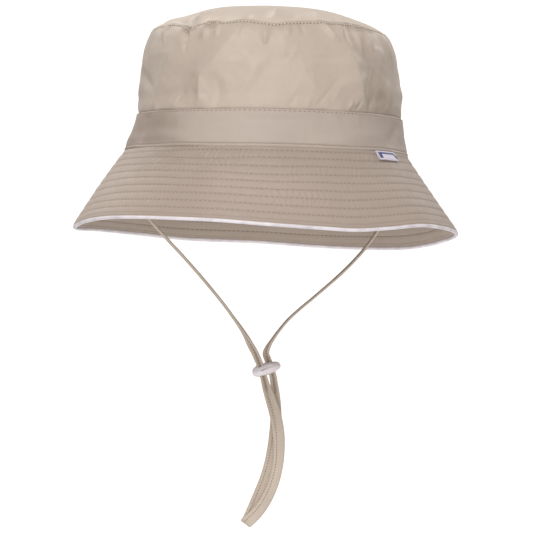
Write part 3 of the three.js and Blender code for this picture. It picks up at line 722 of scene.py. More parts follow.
def makeStopper(values):
    levels, columns = values["levels"], values["columns"]
    rise = np.linspace(-math.pi / 2, math.pi / 2, levels + 1)[1:-1, None]
    turn = np.linspace(0, fullTurn, columns, endpoint=False)[None, :]

    def power(value, exponent):
        return np.sign(value) * np.abs(value) ** exponent

    (riseX, turnX), (riseY, turnY), riseZ = values["roundness"]
    grid = np.stack(np.broadcast_arrays(
        values["long"] / 2 * power(np.cos(rise), riseX) * power(np.cos(turn), turnX),
        values["deep"] / 2 * power(np.cos(rise), riseY) * power(np.sin(turn), turnY),
        values["high"] / 2 * power(np.sin(rise), riseZ)), -1)
    grid[..., 1:] *= 1 - values["taper"] * smoothstep(grid[..., :1] / values["long"], *values["taperFrom"])
    x, z, long, high, depth, lean = values["slit"]
    below = smoothstep(grid[..., 2], *(z + d for d in values["lipFrom"]))
    grid[..., 1] -= values["lip"] * smoothstep(-grid[..., 1], 0, values["lipDeep"]) * below
    quads = gridQuads(levels - 1, columns)[0]
    top = values["high"] / 2
    points = np.vstack([grid.reshape(-1, 3), [(0, 0, -top), (0, 0, top)]])
    size = len(points)
    faces = quads.tolist() + poleCaps(size - 2, size - 1, (levels - 2) * columns, columns)
    bean = linkObject("bean", plainMesh("bean", (points * mm).tolist(), faces))
    cutters = [ovalColumn("eye", eyeX, eyeY, values["eyeLong"], values["eyeDeep"], values["eyeHigh"])
               for eyeX, eyeY in values["eyes"]]
    slit = ovalColumn("slit", 0, 0, long, high, 2 * depth)
    slit.location = Vector((x, -values["deep"] / 2, z)) * mm
    slit.rotation_euler = (math.pi / 2, math.radians(-lean), 0)
    cutters.append(slit)
    for cutter in cutters:
        cut = bean.modifiers.new("eye", "BOOLEAN")
        cut.operation, cut.object, cut.solver = "DIFFERENCE", cutter, "EXACT"
    skin = bean.modifiers.new("skin", "REMESH")
    skin.mode, skin.voxel_size, skin.use_smooth_shade = "VOXEL", values["grain"] * mm, True
    ease = bean.modifiers.new("ease", "SMOOTH")
    ease.factor, ease.iterations = values["ease"], values["easings"]
    done = bpy.data.meshes.new_from_object(bean.evaluated_get(bpy.context.evaluated_depsgraph_get()))
    for used in cutters + [bean]:
        bpy.data.objects.remove(used)
    done.transform(Matrix.Translation(Vector(values["place"]) * mm)
                   @ Matrix.Rotation(math.radians(-values["rise"]), 4, "Y")
                   @ Matrix.Rotation(math.radians(values["nod"]), 4, "X"))
    done.shade_smooth()
    done.materials.clear()
    done.materials.append(stopperMaterial(values))
    return linkObject("cordStopper", done)


cordStopper = makeStopper(stopperValues)
dressed(cordStopper, "stopper_plastic", "cord_stopper")
round(tape[5] * mm, 4)
[tuple(p * mm) for p in tape[0]]
print("stopper made")


# Crown.
crownValues = {
    "thick": 1.0, "innerStep": 4,
    "fineAngle": 0.42, "coarseAngle": 0.62, "fineHalf": 100,  # degrees, finer in front
    "fineLevel": 0.45, "coarseLevel": 0.72, "fineEdge": 9,
    "tipColumns": 560, "tipRim": 24, "tipFine": 0.5, "tipCoarse": 0.95, "tipFineEdge": 10,
    "tipMiddleLevels": 34,
    "seamHalf": 64.4, "seamHeight": 68.9, "tipRise": 13.2, "tipShift": 0.4, "tipGap": 0.15,
    "foldScale": 1.1, "tipScale": 2.5, "tipUneven": 0.28,
    "foldsFrom": (20.5, 25), "foldsEase": (63, 69), "foldsEased": 0.55,
    "puckerDepth": 0.42, "puckerWide": 5.2, "puckerReach": 9,
    "puckerLeast": 0.55, "puckerVaries": 0.45, "variesOver": 34,
    "puckerDrift": 0.2, "driftOver": 30,  # how far puckers lean, and along what length that changes
    "puckersFrom": 20.4, "footPuckers": 0.9,
    "gatherPitch": 1.75, "gatherScale": 1.7, "gatherRadius": 70, "gatherWander": 2,
    "gatherReach": (5.5, 1.5), "gatherStart": (-0.4, 0.8),  # from nothing to full, away from the seam
    "creaseDepth": 0.5, "creaseWide": 26, "creaseLean": 0.35,
    "creaseSizes": ((1, 1), (0.5, 0.5), (0.26, 0.22)),  # shares of the width and of the depth
    "turnIn": 0.3, "tipTurnIn": 0.4, "tipBlend": 3.5,  # towards the seam between side and tip
    "turnWide": 0.6, "tipTurnWide": 0.9,
    "waveFade": 8, "waveIn": 0.35,  # how far the seam's wave reaches, and moves in where it rises
    "tipNoise": (24, 11, 0.45), "tipNoiseFrom": (2, 14),  # two sizes and the second one's share
    "seamPitch": 2.05, "seamBelow": 1.35, "seamGroove": 0.34,
    # painted shade: along the tip seam, in the crevice above the band, in the seam's groove and in the
    # troughs of the gathers
    "paintedShade": 0.28, "footShade": 0.12, "grooveShade": 0.12, "pleatShade": 0.8,
    "seamShadeWide": 0.35, "tipShadeWide": 0.4, "footLine": 20.6, "footWide": 0.7, "pleatSharp": 3,
    "thread": bead(1.2, 0.95, 0.8, 0.26, 0.35, 5),
    # dark bead of painted shadow in each needle hole
    "hole": bead(0.8, 0.9, 0.3, 0.16, 0.35, 6),
}

# Outer skin of the side panel: half width, height, and shift towards +X.
sideRings = [
    (73.1, 16.6, 1.5), (73.4, 20.3, 1.6), (73.75, 21.3, 1.6), (73.9, 22.8, 1.7), (73.8, 25, 1.9),
    (73.45, 28, 2.1), (73.4, 34, 2.0), (72.7, 41, 1.5), (72.0, 49, 1.0), (70.8, 57, 0.7),
    (68.5, 63.6, 0.5), (64.6, 68.75, 0.4),
]

# Dome of the tip: share of the way out from the middle, share of the rise.
tipRings = [(1, 0), (0.9, 0.25), (0.76, 0.5), (0.58, 0.76), (0.3, 0.95), (0.12, 0.993), (0, 1)]

# Wave of the tip seam: angle, rise.
seamWave = [
    (-180, 0.3), (-158, -0.5), (-137, 0.4), (-116, -0.4), (-96, 0.4), (-76, 0.4), (-63, 0.5),
    (-53, 0.3), (-47, -0.8), (-41, -2.2), (-36, -0.2), (-28, 0.7), (-23.5, 0.3), (-18, 0.7),
    (-9, 0.6), (-3.4, -0.4), (0.5, -0.9), (7, 0), (17, 1.4), (26, 1.6), (40, 1.9), (51, 1.1),
    (61, 0.4), (71, -0.2), (81, -0.9), (91, -1.4), (104, -1), (124, -0.4), (152, 0.4), (180, 0.3),
]

# Folds of the side panel, read from foot to top: how sharp the crest is, then points with their angle,
# height, depth (outwards, or inwards where negative) and spread to the left and right.
sideFolds = [
    # left shoulder crease
    (0.8, [(-61.9, 23, 0.5, 9, 8), (-59.8, 28.9, 1, 10, 11), (-55.1, 37.5, 1.5, 12, 15),
        (-50.6, 48.4, 1.3, 12, 15), (-49.8, 55.5, 0.3, 8, 8)]),
    # hollow at the far left
    (0.3, [(-60.8, 30.7, 0, 5, 5), (-68.2, 36.2, -1.2, 6, 6), (-83.8, 43.6, -1.4, 7, 7),
        (-90, 49.8, 0, 6, 6)]),
    # streak left of the ridge
    (0.3, [(-56.7, 23.2, -0.4, 3, 4), (-51.2, 29, -0.8, 4, 5), (-42.5, 33, 0, 4, 4)]),
    # small pleat at the band, left
    (0.6, [(-46.6, 21.6, 0.6, 2.6, 2.2), (-45.2, 27.1, 0.5, 2.4, 2.2), (-43.5, 30.3, 0, 2, 2)]),
    # hollow left of the ridge's foot
    (0.2, [(-38.5, 21.3, -0.6, 8, 4), (-42, 27.9, -1.1, 13, 8), (-42, 35.1, -0.7, 13, 8),
        (-39, 41.4, 0, 9, 8)]),
    # long ridge
    (0.9, [(-33.6, 21.2, 0.9, 5, 8), (-31.9, 26.6, 2, 7, 8), (-31.6, 32.7, 2.9, 10, 9),
        (-30.6, 39.3, 3.2, 13, 13), (-25.6, 45.2, 3.1, 15, 20), (-21.6, 51.2, 2.8, 16, 22),
        (-17.5, 58.4, 2.3, 16, 20), (-13.2, 65.7, 1.2, 11, 13)]),
    # narrow valley
    (0.3, [(-24.4, 21, -0.5, 4, 6), (-22.9, 29.2, -0.9, 4.5, 7), (-23.2, 35.8, -0.5, 4, 6),
        (-24.3, 40.2, 0, 3, 5)]),
    # pouch under the seam
    (0.35, [(-40.9, 52.3, -0.1, 1.2, 0.9), (-41.1, 55.7, -1.7, 3, 1.6), (-41.5, 60.1, -3, 5.5, 2.6),
        (-42.7, 65.3, -2.6, 6.5, 3.6)]),
    # gathers left of the pouch
    (0.5, [(-56.4, 57.1, 0, 3, 3), (-56.8, 61.6, 1.3, 4, 3), (-58.8, 66.3, 1.5, 4, 3)]),
    # soft gather right of the pouch
    (0.5, [(-32.3, 58.1, 0, 5, 4), (-31.5, 62, 1.5, 5, 4), (-31.7, 66, 1.7, 5, 4)]),
    # second soft gather
    (0.5, [(-25.3, 59, 0, 4, 4), (-24.9, 62.4, 1, 4, 3), (-24.8, 66.4, 1.2, 4, 3)]),
    # small pleat next to it
    (0.6, [(-15.6, 57.8, 0, 3, 3), (-14.2, 62.3, -0.6, 3, 2.5), (-12.8, 66.3, -0.8, 3, 2.5)]),
    # pleat under the middle
    (0.35, [(-2.1, 55.5, 0, 1, 1), (-2.1, 57.4, 1.4, 2.4, 2.4), (-2, 61.9, 1.3, 4.6, 4.6),
        (-2, 67, 0.5, 6, 6)]),
    # slanting rib
    (0.6, [(-14.3, 25.9, 0, 8, 5), (-10.6, 34.2, 1.4, 12, 6), (-6.1, 43, 1.7, 14, 6),
        (-0.3, 50.3, 0, 10, 5)]),
    # level crease
    (0.5, [(0.6, 53, 0, 5, 4), (6.2, 52.1, 0.9, 9, 4.5), (15.1, 50.3, 0, 6, 4)]),
    # faint upright crease
    (0.9, [(19, 23.7, 0.1, 6, 5), (18.6, 36.8, 0.3, 7, 5), (18.3, 53.2, 0, 6, 5)]),
    # small gather
    (0.5, [(8.1, 59.4, 0, 3, 3), (8.7, 63.9, 0.5, 3, 3), (9, 68, 0.5, 3, 3)]),
    # small gather
    (0.6, [(15.9, 60.3, 0, 3, 3), (15.3, 64.2, -0.5, 3, 3), (15, 68.2, -0.6, 3, 3)]),
    # slanting line
    (0.9, [(19.9, 22.6, -0.4, 3, 3), (25.4, 31.2, -0.4, 3, 3), (33.6, 42.1, 0, 3, 3)]),
    # sharp crease
    (1, [(33.5, 58.1, 0, 3, 1), (30.4, 61.8, 1.7, 4, 2.4), (27.1, 67.2, 1.9, 5, 3),
        (25, 68.9, 1.2, 4, 3)]),
    # right ridge
    (0.7, [(43.1, 23.6, 1, 8, 8), (42, 30.1, 2.6, 12, 13), (40.6, 38.3, 3.9, 18, 16),
        (38.7, 47.5, 3.8, 20, 16), (37.1, 55.6, 2, 14, 13), (35.7, 63.3, 0.6, 8, 7)]),
    # crease right of it
    (1, [(42.6, 25.8, 0.1, 2, 2), (46.5, 35.4, 0.35, 1.4, 1.4), (49.6, 42.3, 0.35, 1.4, 1.4),
        (52.9, 48.2, 0, 1.4, 1.4)]),
    # dark rib far right
    (0.5, [(49.5, 24.1, 0.3, 4, 5), (53.2, 33.3, 0.7, 6, 7), (53.8, 41.6, 0, 6, 6)]),
    # rim at the far right
    (0.4, [(61.2, 24.5, 0.6, 4, 4), (63.4, 33, 0.7, 5, 4), (64.4, 40.4, 0, 5, 4)]),
    # upper right rib
    (0.5, [(45.6, 50.8, 0, 4, 3), (44.7, 58.5, 1.8, 4.5, 3.4), (43.7, 66.3, 1.4, 4, 3.4)]),
    # dent left of it
    (0.6, [(38.1, 54.6, 0, 3, 3), (37.2, 60.1, -1.3, 3, 3), (38, 66.3, -1.2, 3, 3)]),
    # second rib
    (0.6, [(53.8, 54.9, 0, 4, 4), (52.2, 60.3, 1.3, 4, 4), (51.8, 66.4, 1.1, 4, 4)]),
    # shoulder rib
    (0.6, [(71.8, 46.6, 0, 4, 4), (68.4, 57.4, 1.6, 5, 4), (64.3, 64.8, 1.2, 4, 3)]),
    # pleats at the band
    (0.8, [(35.8, 22, 0.8, 2.4, 1.8), (37, 25.4, 0.6, 2.2, 1.8), (36.4, 28.6, 0, 2, 2)]),
    (0.8, [(39.6, 21.7, -0.9, 2.2, 2), (40.9, 25.1, -0.6, 2, 2), (40.8, 27.8, 0, 2, 2)]),
    (0.8, [(44.8, 21.5, 0.8, 2, 2.2), (44.4, 24.8, 0.6, 2, 2), (43.2, 27.5, 0, 2, 2)]),
    (0.8, [(48, 21.2, -0.9, 2.4, 2.4), (47.5, 25.1, -0.7, 2.4, 2.4), (46.2, 28.8, 0, 2, 2)]),
    (0.8, [(51.3, 21, 0.6, 2, 2.4), (51.5, 24.3, 0.5, 2, 2.4), (50.9, 27.5, 0, 2, 2)]),
    # ripples at the band
    (0.6, [(-58.8, 20.6, -0.6, 3, 3), (-57.7, 24.4, -0.4, 3, 3), (-56.3, 27.6, 0, 3, 3)]),
    (0.6, [(-33.1, 21.2, -0.4, 3, 2.5), (-32.3, 24.5, -0.3, 3, 2.5), (-31.9, 26.6, 0, 3, 3)]),
    (0.6, [(-14.2, 21.6, 0.4, 3, 3), (-13.4, 24.9, 0.3, 3, 3), (-13, 27.6, 0, 3, 3)]),
    (0.6, [(-4.4, 21.7, -0.3, 3, 3), (-4, 25, -0.3, 3, 3), (-3.7, 27.2, 0, 3, 3)]),
    (0.6, [(8.6, 22.1, -0.5, 4, 3), (9.9, 26, -0.4, 4, 3), (11.1, 30.4, 0, 3, 3)]),
    (0.6, [(15.9, 22.4, 0.4, 3, 3), (16.4, 25.7, 0.3, 3, 3), (16.3, 28.5, 0, 3, 3)]),
    (0.6, [(27.3, 22.5, -0.4, 4, 3), (26.9, 26.3, -0.3, 4, 3), (25.9, 29.5, 0, 3, 3)]),
    # the sides and the back
    (0.4, [(78, 34, 0, 7, 7), (80, 48, -1.5, 7, 7), (84, 60, -0.96, 7, 7)]),
    (0.6, [(101, 24, 0.96, 14, 9), (98, 35, 1.6, 14, 9), (94, 52, 0, 14, 9)]),
    (0.4, [(118, 24, 0, 10, 10), (121, 43, -1.8, 10, 10), (126, 62, -1.12, 10, 10)]),
    (0.6, [(143, 22, 1.02, 14, 10), (141, 33, 1.7, 14, 10), (137, 50, 0, 14, 10)]),
    (0.4, [(160, 34, 0, 9, 8), (163, 50, -1.8, 9, 8), (168, 66, -1.12, 9, 8)]),
    (0.6, [(187, 22, 0.96, 12, 14), (185, 32, 1.6, 12, 14), (181, 48, 0, 12, 14)]),
    (0.4, [(203, 24, 0, 9, 9), (206, 42, -1.9, 9, 9), (210, 60, -1.12, 9, 9)]),
    (0.6, [(229, 22, 1.02, 14, 10), (227, 35, 1.7, 14, 10), (224, 54, 0, 14, 10)]),
    (0.4, [(247, 28, 0, 9, 9), (250, 45, -1.7, 9, 9), (255, 62, -1.04, 9, 9)]),
    (0.6, [(271, 22, 0.84, 12, 12), (269, 32, 1.4, 12, 12), (265, 46, 0, 12, 12)]),
    (0.4, [(288, 32, 0, 8, 8), (286, 48, -1.3, 8, 8), (283, 64, -0.88, 8, 8)]),
]

# Creases of the tip seen from above, from its seam inwards: sharpness, then points with x, y, depth
# and spread to the left and right.
tipFolds = [
    (0.95, [(-39.7, -60, 0.9, 7, 12), (-38.5, -54, 1.5, 8, 14), (-36.8, -45, 0.7, 8, 14),
        (-35, -36, 0, 8, 12)]),
    (0.4, [(-49, -56, -0.6, 6, 6), (-46, -46, -0.9, 7, 7), (-43, -36, 0, 6, 6)]),
    (0.5, [(-12, -74, -0.9, 4, 4), (-12, -67, -0.5, 4, 4), (-12, -60, 0, 4, 4)]),
    (0.95, [(0.6, -75, 0.7, 6, 9), (2.7, -66, 1.1, 7, 11), (3.9, -53, 0.7, 7, 11), (4, -43, 0, 7, 11)]),
    (0.4, [(12, -72, -0.4, 5, 5), (13, -62, -0.5, 6, 6), (14, -54, 0, 6, 6)]),
    (0.9, [(27.5, -68, 0.8, 9, 4), (26.3, -59, 1.1, 9, 4.5), (25.3, -49, 0.6, 9, 5),
        (24, -40, 0, 9, 5)]),
    (0.6, [(43, -56, 0.6, 5, 4), (39, -49, 0.6, 5, 4), (36, -43, 0, 5, 4)]),
    (0.5, [(-60, -31, -0.8, 7, 7), (-52, -26, -0.7, 7, 7), (-44, -22, 0, 7, 7)]),
    (0.5, [(60.9, -23.9, -0.84, 8, 8), (51.4, -23.4, -1.2, 8, 8), (35.7, -20.4, 0, 8, 8)]),
    (0.6, [(63.4, 12.7, 0.56, 8, 8), (54, 14, 0.8, 8, 8), (38.1, 13.8, 0, 8, 8)]),
    (0.5, [(50.7, 45.2, -0.98, 8, 8), (45.3, 36.4, -1.4, 8, 8), (34.4, 23, 0, 8, 8)]),
    (0.6, [(30.2, 64.8, 0.56, 8, 8), (23.6, 57.1, 0.8, 8, 8), (13.9, 42.7, 0, 8, 8)]),
    (0.5, [(4.5, 73.2, -0.84, 8, 8), (6.6, 62.7, -1.2, 8, 8), (8, 44.6, 0, 8, 8)]),
    (0.6, [(-26.2, 67.1, 0.56, 8, 8), (-25, 56.3, 0.8, 8, 8), (-20.9, 38.8, 0, 8, 8)]),
    (0.5, [(-50.7, 45.2, -0.98, 8, 8), (-41.9, 41.2, -1.4, 8, 8), (-27.9, 32.5, 0, 8, 8)]),
    (0.6, [(-63.8, 10.2, 0.49, 8, 8), (-55.2, 5.7, 0.7, 8, 8), (-39.9, 0.3, 0, 8, 8)]),
    (0.5, [(-62.2, -19, -0.7, 8, 8), (-54.1, -13.3, -1, 8, 8), (-39.6, -5.9, 0, 8, 8)]),
]

# Fine gathers that the seam pulls into the cloth: from angle, to angle, depth, lean.
tipGathers = [(-62, -53, 0.12, 0.4), (-48, -36, 0.36, 0.9), (-34, -24, 0.34, 0.9), (-22, -8, 0.07, 0.6),
              (2, 20, 0.04, 0), (24, 34, 0.08, -0.5), (38, 62, 0.2, -0.8), (75, 100, 0.2, -0.5),
              (120, 150, 0.24, 0.5), (185, 215, 0.24, -0.5), (245, 280, 0.22, 0.5)]


foldValues = {
    "radius": 77,  # from the hat's axis to where folds are measured
    "crest": 0.25,  # fullness of a sharp fold beside its line
    "blend": 0.4, "blendPower": 6,  # how far and how firmly one stretch of a fold runs into the next
}


def angleFrom(a, b):
    return (a - b + 180) % 360 - 180


# Cross-section of a fold, 1 on its line and 0 past its spread.
def foldShape(distance, left, right, sharp):
    reach = np.clip(np.abs(distance) / np.where(distance < 0, left, right), 0, 1)
    soft = (1 - reach) ** 2 * (1 + 2 * reach)
    crest = (1 - reach) ** 2 * (1 + foldValues["crest"] * reach)
    return lerp(soft, crest, sharp)


# Lift of a surface by folds given in its own flat coordinates.
def creaseLift(x, y, folds):
    lift = np.zeros(np.broadcast(x, y).shape)
    for sharp, points in folds:
        points = np.array(points, float)
        total = weights = 0
        for low, high in zip(points[:-1], points[1:]):
            run = high[:2] - low[:2]
            along = np.clip(((x - low[0]) * run[0] + (y - low[1]) * run[1]) / (run @ run), 0, 1)
            offX, offY = x - low[0] - along * run[0], y - low[1] - along * run[1]
            far = np.hypot(offX, offY)
            side = np.where(offX * run[1] - offY * run[0] < 0, -1.0, 1.0)
            depth, left, right = (lerp(low[k], high[k], along) for k in (2, 3, 4))
            weight = 1 / (far + foldValues["blend"]) ** foldValues["blendPower"]
            total = total + weight * depth * foldShape(side * far, left, right, sharp)
            weights = weights + weight
        lift += total / weights
    return lift


# Folds whose points are given by angle and height.
def foldLift(angle, height, folds):
    scale = math.radians(1) * foldValues["radius"]
    lift = np.zeros(np.broadcast(angle, height).shape)
    for sharp, points in folds:
        middle = points[0][0]
        flat = [(angleFrom(p[0], middle) * scale, *p[1:]) for p in points]
        lift += creaseLift(angleFrom(angle, middle) * scale, height, [(sharp, flat)])
    return lift


def gathers(angle, away, values):
    lift = 0
    for first, last, depth, lean in tipGathers:
        off = angleFrom(angle, (first + last) / 2)
        zone = smoothstep(np.abs(off), (last - first) / 2, (last - first) / 2 - 3)
        turns = (off * math.radians(1) * values["gatherRadius"] + lean * away) / values["gatherPitch"]
        wave = np.cos(fullTurn * turns + values["gatherWander"] * ringNoise(angle, 0, 9, 41))
        reach = smoothstep(away, *values["gatherReach"]) * smoothstep(away, *values["gatherStart"])
        lift = lift + values["gatherScale"] * zone * depth * wave * reach
    return lift


# Small gathers that run off a seam and die away from it.
def puckers(angle, away, values, seed):
    wide = values["puckerWide"]
    drift = angle + values["puckerDrift"] * ringNoise(angle, 0, values["driftOver"], seed + 7) * away
    varies = values["puckerVaries"] * ringNoise(angle, 3, values["variesOver"], seed + 1)
    strength = values["puckerLeast"] + varies
    fold = ringNoise(drift, away / 40, wide, seed)
    fold = fold + 0.5 * ringNoise(drift, away / 30, wide / 2, seed + 2)
    reach = np.clip(1 - away / values["puckerReach"], 0, 1)
    return values["puckerDepth"] * strength * fold * reach ** 1.5


# Broad flat facets between soft creases, as in crisp thin cloth.
def crumple(angle, height, values, seed):
    wide = values["creaseWide"]
    total = 0
    for k, (size, share) in enumerate(values["creaseSizes"]):
        lean = angle + values["creaseLean"] * height / size ** 0.5 * (-1) ** k
        wave = ringNoise(lean, height / (wide * size * 0.8) + k * 5, wide * size, seed + k)
        total = total + share * (0.6 - 1.6 * np.abs(wave))
    return values["creaseDepth"] * total


def waveAt(angle):
    rows = np.array(seamWave, float)
    dense = splineRows(rows, 8)
    return np.interp(angle, dense[:, 0], dense[:, 1])


def sideLift(angle, height, values):
    below = np.maximum(values["seamHeight"] - height, 0)
    above = np.maximum(height - values["puckersFrom"], 0)
    lift = values["foldScale"] * foldLift(angle, height, sideFolds)
    lift = lift + crumple(angle, height, values, 11)
    ease = 1 - values["foldsEased"] * smoothstep(height, *values["foldsEase"])
    lift = lift * smoothstep(height, *values["foldsFrom"]) * ease
    lift = lift + puckers(angle, below, values, 21)
    lift = lift + gathers(angle, below, values)
    return lift + puckers(angle, above, values, 31) * values["footPuckers"]


# Moves both panels' edges along the wave of the seam between them.
def seamShift(angle, away, values):
    wave = waveAt(angle) * np.exp(-away / values["waveFade"])
    a = np.radians(angle)
    out = -values["waveIn"] * wave
    return np.stack(np.broadcast_arrays(out * np.sin(a), -out * np.cos(a), wave), -1)


# The groove that a line of stitches presses into cloth, and the shade painted in it.
def seamGroove(away, depth, wide=0.5):
    line = bell(away, wide)
    return -depth * line, line


# Painted shade where cloth would lie in the shade of a broad dent: angle, height, spread round and up,
# share of the shade.
bandHollows = [
    (-54, 9, 14, 18, 0.47), (-74, 7, 12, 14, 0.38), (66, 12, 14, 16, 0.16),
]
tipHollows = [(-43, 6, 5, 6, 0.42)]  # here the height is the way in from the seam
crownHollows = [
    (57, 31, 12, 18, 0.33), (47, 52, 6, 15, 0.14), (72, 58, 8, 10, 0.14), (-45, 60, 4, 7, 0.08),
    (-33, 62, 3, 6, 0.1),
]


# Painted shade of the hollows in one of these tables.
def hollowShade(angle, height, rows):
    total = 0
    for middle, level, wide, high, share in rows:
        total = total + share * bell(angleFrom(angle, middle), wide) * bell(height - level, high)
    return total


def makeCrownSide(values):
    angles = gradedAngles(values["fineAngle"], values["coarseAngle"], values["fineHalf"])[None, :]
    dense = splineRows(sideRings, 30)
    total = runLength(dense)[-1]
    places = gradedPlaces(total, values["fineLevel"], values["coarseLevel"], values["fineEdge"])
    rows = resample(dense, places, 2)
    height = rows[:, 1:2]
    base = ovalPoints(rows[:, :1], angles, height)
    base[..., 0] += rows[:, 2:3]
    away = (total - places)[:, None]
    seam = values["seamBelow"]
    sink, dark = seamGroove(away - seam, values["seamGroove"])
    lift = sideLift(angles, height, values) - values["turnIn"] * bell(away, values["turnWide"])
    lift = lift + sink
    skin = base + gridNormals(base) * lift[..., None] + seamShift(angles, away, values)
    # painted shade along the tip seam, in the crevice above the band, in hollows, in the seam's groove and
    # in the troughs of the gathers
    shade = values["paintedShade"] * bell(away, values["seamShadeWide"])
    shade = shade + values["footShade"] * bell(height - values["footLine"], values["footWide"])
    shade = shade + hollowShade(angles, height, crownHollows) + values["grooveShade"] * dark
    pleat = gathers(angles, np.maximum(values["seamHeight"] - height, 0), values)
    shade = np.clip(shade + values["pleatShade"] * np.clip(-values["pleatSharp"] * pleat, 0, 1), 0, 1)
    level = np.interp(total - seam, places, np.arange(len(places)))
    piece = clothWall("crownSide", skin, values["thick"], values["innerStep"], shade, crownCloth)
    return piece, skin, level


def makeCrownTip(values):
    angles = evenAngles(values["tipColumns"])
    half = values["seamHalf"] - values["tipGap"]
    foot = values["seamHeight"] + values["tipGap"]
    rows = [(share * half, foot + values["tipRise"] * rise) for share, rise in tipRings]
    dense = splineRows(rows, 30)
    total = runLength(dense)[-1]
    edge = values["tipRim"]
    rim = gradedPlaces(edge, values["tipFine"], values["tipCoarse"], values["tipFineEdge"])
    places = np.concatenate([rim[:-1], np.linspace(edge, total, values["tipMiddleLevels"])[:-1]])
    ring = resample(dense, places, 2)
    a = np.radians(angles)
    deep = (half + ovalExtra) * ring[:, :1] / half
    base = np.stack(np.broadcast_arrays(
        ring[:, :1] * np.sin(a) + values["tipShift"], -deep * np.cos(a), ring[:, 1:2]), -1)
    away = places[:, None]
    x, y = base[..., 0], base[..., 1]
    lift = values["tipScale"] * creaseLift(x - values["tipShift"], y, tipFolds)
    broad, small, share = values["tipNoise"]
    uneven = softNoise(x / broad + 40, y / broad + 40, 51)
    uneven = uneven + share * softNoise(x / small + 40, y / small + 40, 52)
    lift = lift + values["tipUneven"] * uneven * smoothstep(away, *values["tipNoiseFrom"])
    lift = lift + puckers(angles, away, values, 21)
    near = bell(away, values["tipBlend"])
    atSeam = sideLift(angles, np.full((1, 1), values["seamHeight"]), values)
    turned = values["tipTurnIn"] * bell(away, values["tipTurnWide"])
    lift = lift * (1 - near) + atSeam * near - turned
    skin = base + gridNormals(base) * lift[..., None] + seamShift(angles, away, values)
    # painted shade along the seam and on one facet of the tip
    shade = values["paintedShade"] * bell(away, values["tipShadeWide"]) + hollowShade(angles, away, tipHollows)
    return domeShell("crownTip", skin, values["thick"], values["innerStep"], shade, tipCloth)


# A dome: outer skin from its rim to the pole, inner skin back out, and a rounded rim.
def domeShell(name, outer, thick, innerStep, shade, material):
    normal = gridNormals(outer)
    columns = outer.shape[1]
    last = len(outer) - 1
    picks = sorted(set(range(0, last, innerStep)) | {last})
    rim = rimRows(outer[0], outer[1], normal[0], thick)[::-1]
    inner = [outer[k] - normal[k] * thick for k in picks]
    rows = np.stack(inner[::-1] + rim + list(outer))
    quads = gridQuads(len(rows), columns)[0]
    top = outer[-1].mean(0) + (0, 0, 0.02)
    points = np.vstack([rows.reshape(-1, 3), top - (0, 0, thick), top])
    size = len(points)
    faces = quads.tolist() + poleCaps(size - 2, size - 1, (len(rows) - 1) * columns, columns)
    flat = np.concatenate([points[list(face), :2] for face in faces]) * mm
    full = np.zeros(size)
    first = len(inner) * columns
    outside = first + len(rim) * columns
    full[first:outside] = insideShade
    full[outside:size - 2] = shade.ravel()
    return makeObject(name, points, faces, flat, full, material)


# A rail of stitches along a ring of a skin, between two of its levels. It starts a share of a stitch on.
def ringRail(skin, level, pitch, shift=0.0, railPoints=1200):
    low = int(level)
    path = lerp(skin[low], skin[min(low + 1, len(skin) - 1)], level - low)
    normal = gridNormals(skin[max(low - 2, 0):low + 4])[min(low, 2)]
    both = np.hstack([path, normal])
    both = np.vstack([both, both[:1]])
    far = runLength(both[:, :3])
    count = round(far[-1] / pitch)
    places = (np.arange(railPoints) / railPoints + shift / count) % 1 * far[-1]
    both = np.stack([np.interp(places, far, both[:, k]) for k in range(6)], -1)
    return both[:, :3], both[:, 3:], count


# A seam's visible thread, and dark beads between its stitches as painted shadow in the needle holes.
def sewSeam(name, skin, levels, pitch, slot, thread, hole, sewn=beigeThread, shaded=holeShade):
    for label, shift, sizes, material in (("Stitches", 0, thread, sewn), ("Holes", 0.5, hole, shaded)):
        if sizes:
            rails = [ringRail(skin, level, pitch, shift) for level in levels]
            dressed(sewRows(name + label, rails, True, sizes, material), slot)


crownSide, sideSkin, sideSeam = makeCrownSide(crownValues)
crownTip = makeCrownTip(crownValues)
dressed(crownSide, "crown_fabric", "crown_side")
dressed(crownTip, "crown_fabric", "crown_tip")
sewSeam("tipSeam", sideSkin, [sideSeam], crownValues["seamPitch"], "crown_fabric",
        crownValues["thread"], crownValues["hole"], seamThread)
print("crown made")


# Band.
bandValues = {
    "thick": 0.7, "innerStep": 6, "columns": 800,
    "rings": [(79.6, -0.25, 0), (79.45, 1.1, 0), (78.8, 4, 0.1), (76.7, 11, 0.9), (75.5, 16, 1.3),
              (74.9, 20.7, 1.6)],
    "footSeam": 1.8, "topSeam": 1.25,  # of the stitches, up from the foot and down from the top
    "lip": (0, 0.35, 0.7, 1.05, 1.4),  # levels below the foot's seam
    "footLevels": (-0.3, 0, 0.3, 0.7, 1.2), "topLevels": (-1, -0.6, -0.3, 0, 0.3, 0.6, 0.9),
    "middle": (1.9, 1.6, 17),  # from the foot's seam, to the top's, and how many levels
    "lipDepth": 0.36, "topEase": 0.95,
    "grooveDepth": 0.3, "topGroove": 0.6,  # the second is a share of the first
    "waveDepth": 0.36, "broadWave": (0.7, 6, 46), "smallWave": (0.35, 5, 19),  # share, height, length
    "puckers": 0.4, "easeIn": 3,
    "footWobble": 0.3, "topWobble": 0.25, "wobbleFade": 4,
    # painted shade in the grooves of the foot's and the top's seams, and the share of the hollows' painted
    # shade kept on the lip
    "footShade": 0.24, "topShade": 0.06, "lipShade": 0.3,
    "topPitch": 2.75, "footPitch": 1.45,
    # the dark hole beads are painted shadow in the needle holes
    "topThread": bead(1.7, 0.36, 0.28, 0.04, 0.05, 8), "topHole": bead(0.85, 0.6, 0.2, 0.05, 0.2, 9),
    "footThread": bead(0.8, 0.5, 0.3, 0.06, 0.05, 18), "footHole": bead(0.66, 0.8, 0.26, 0.07, 0.2, 19),
}

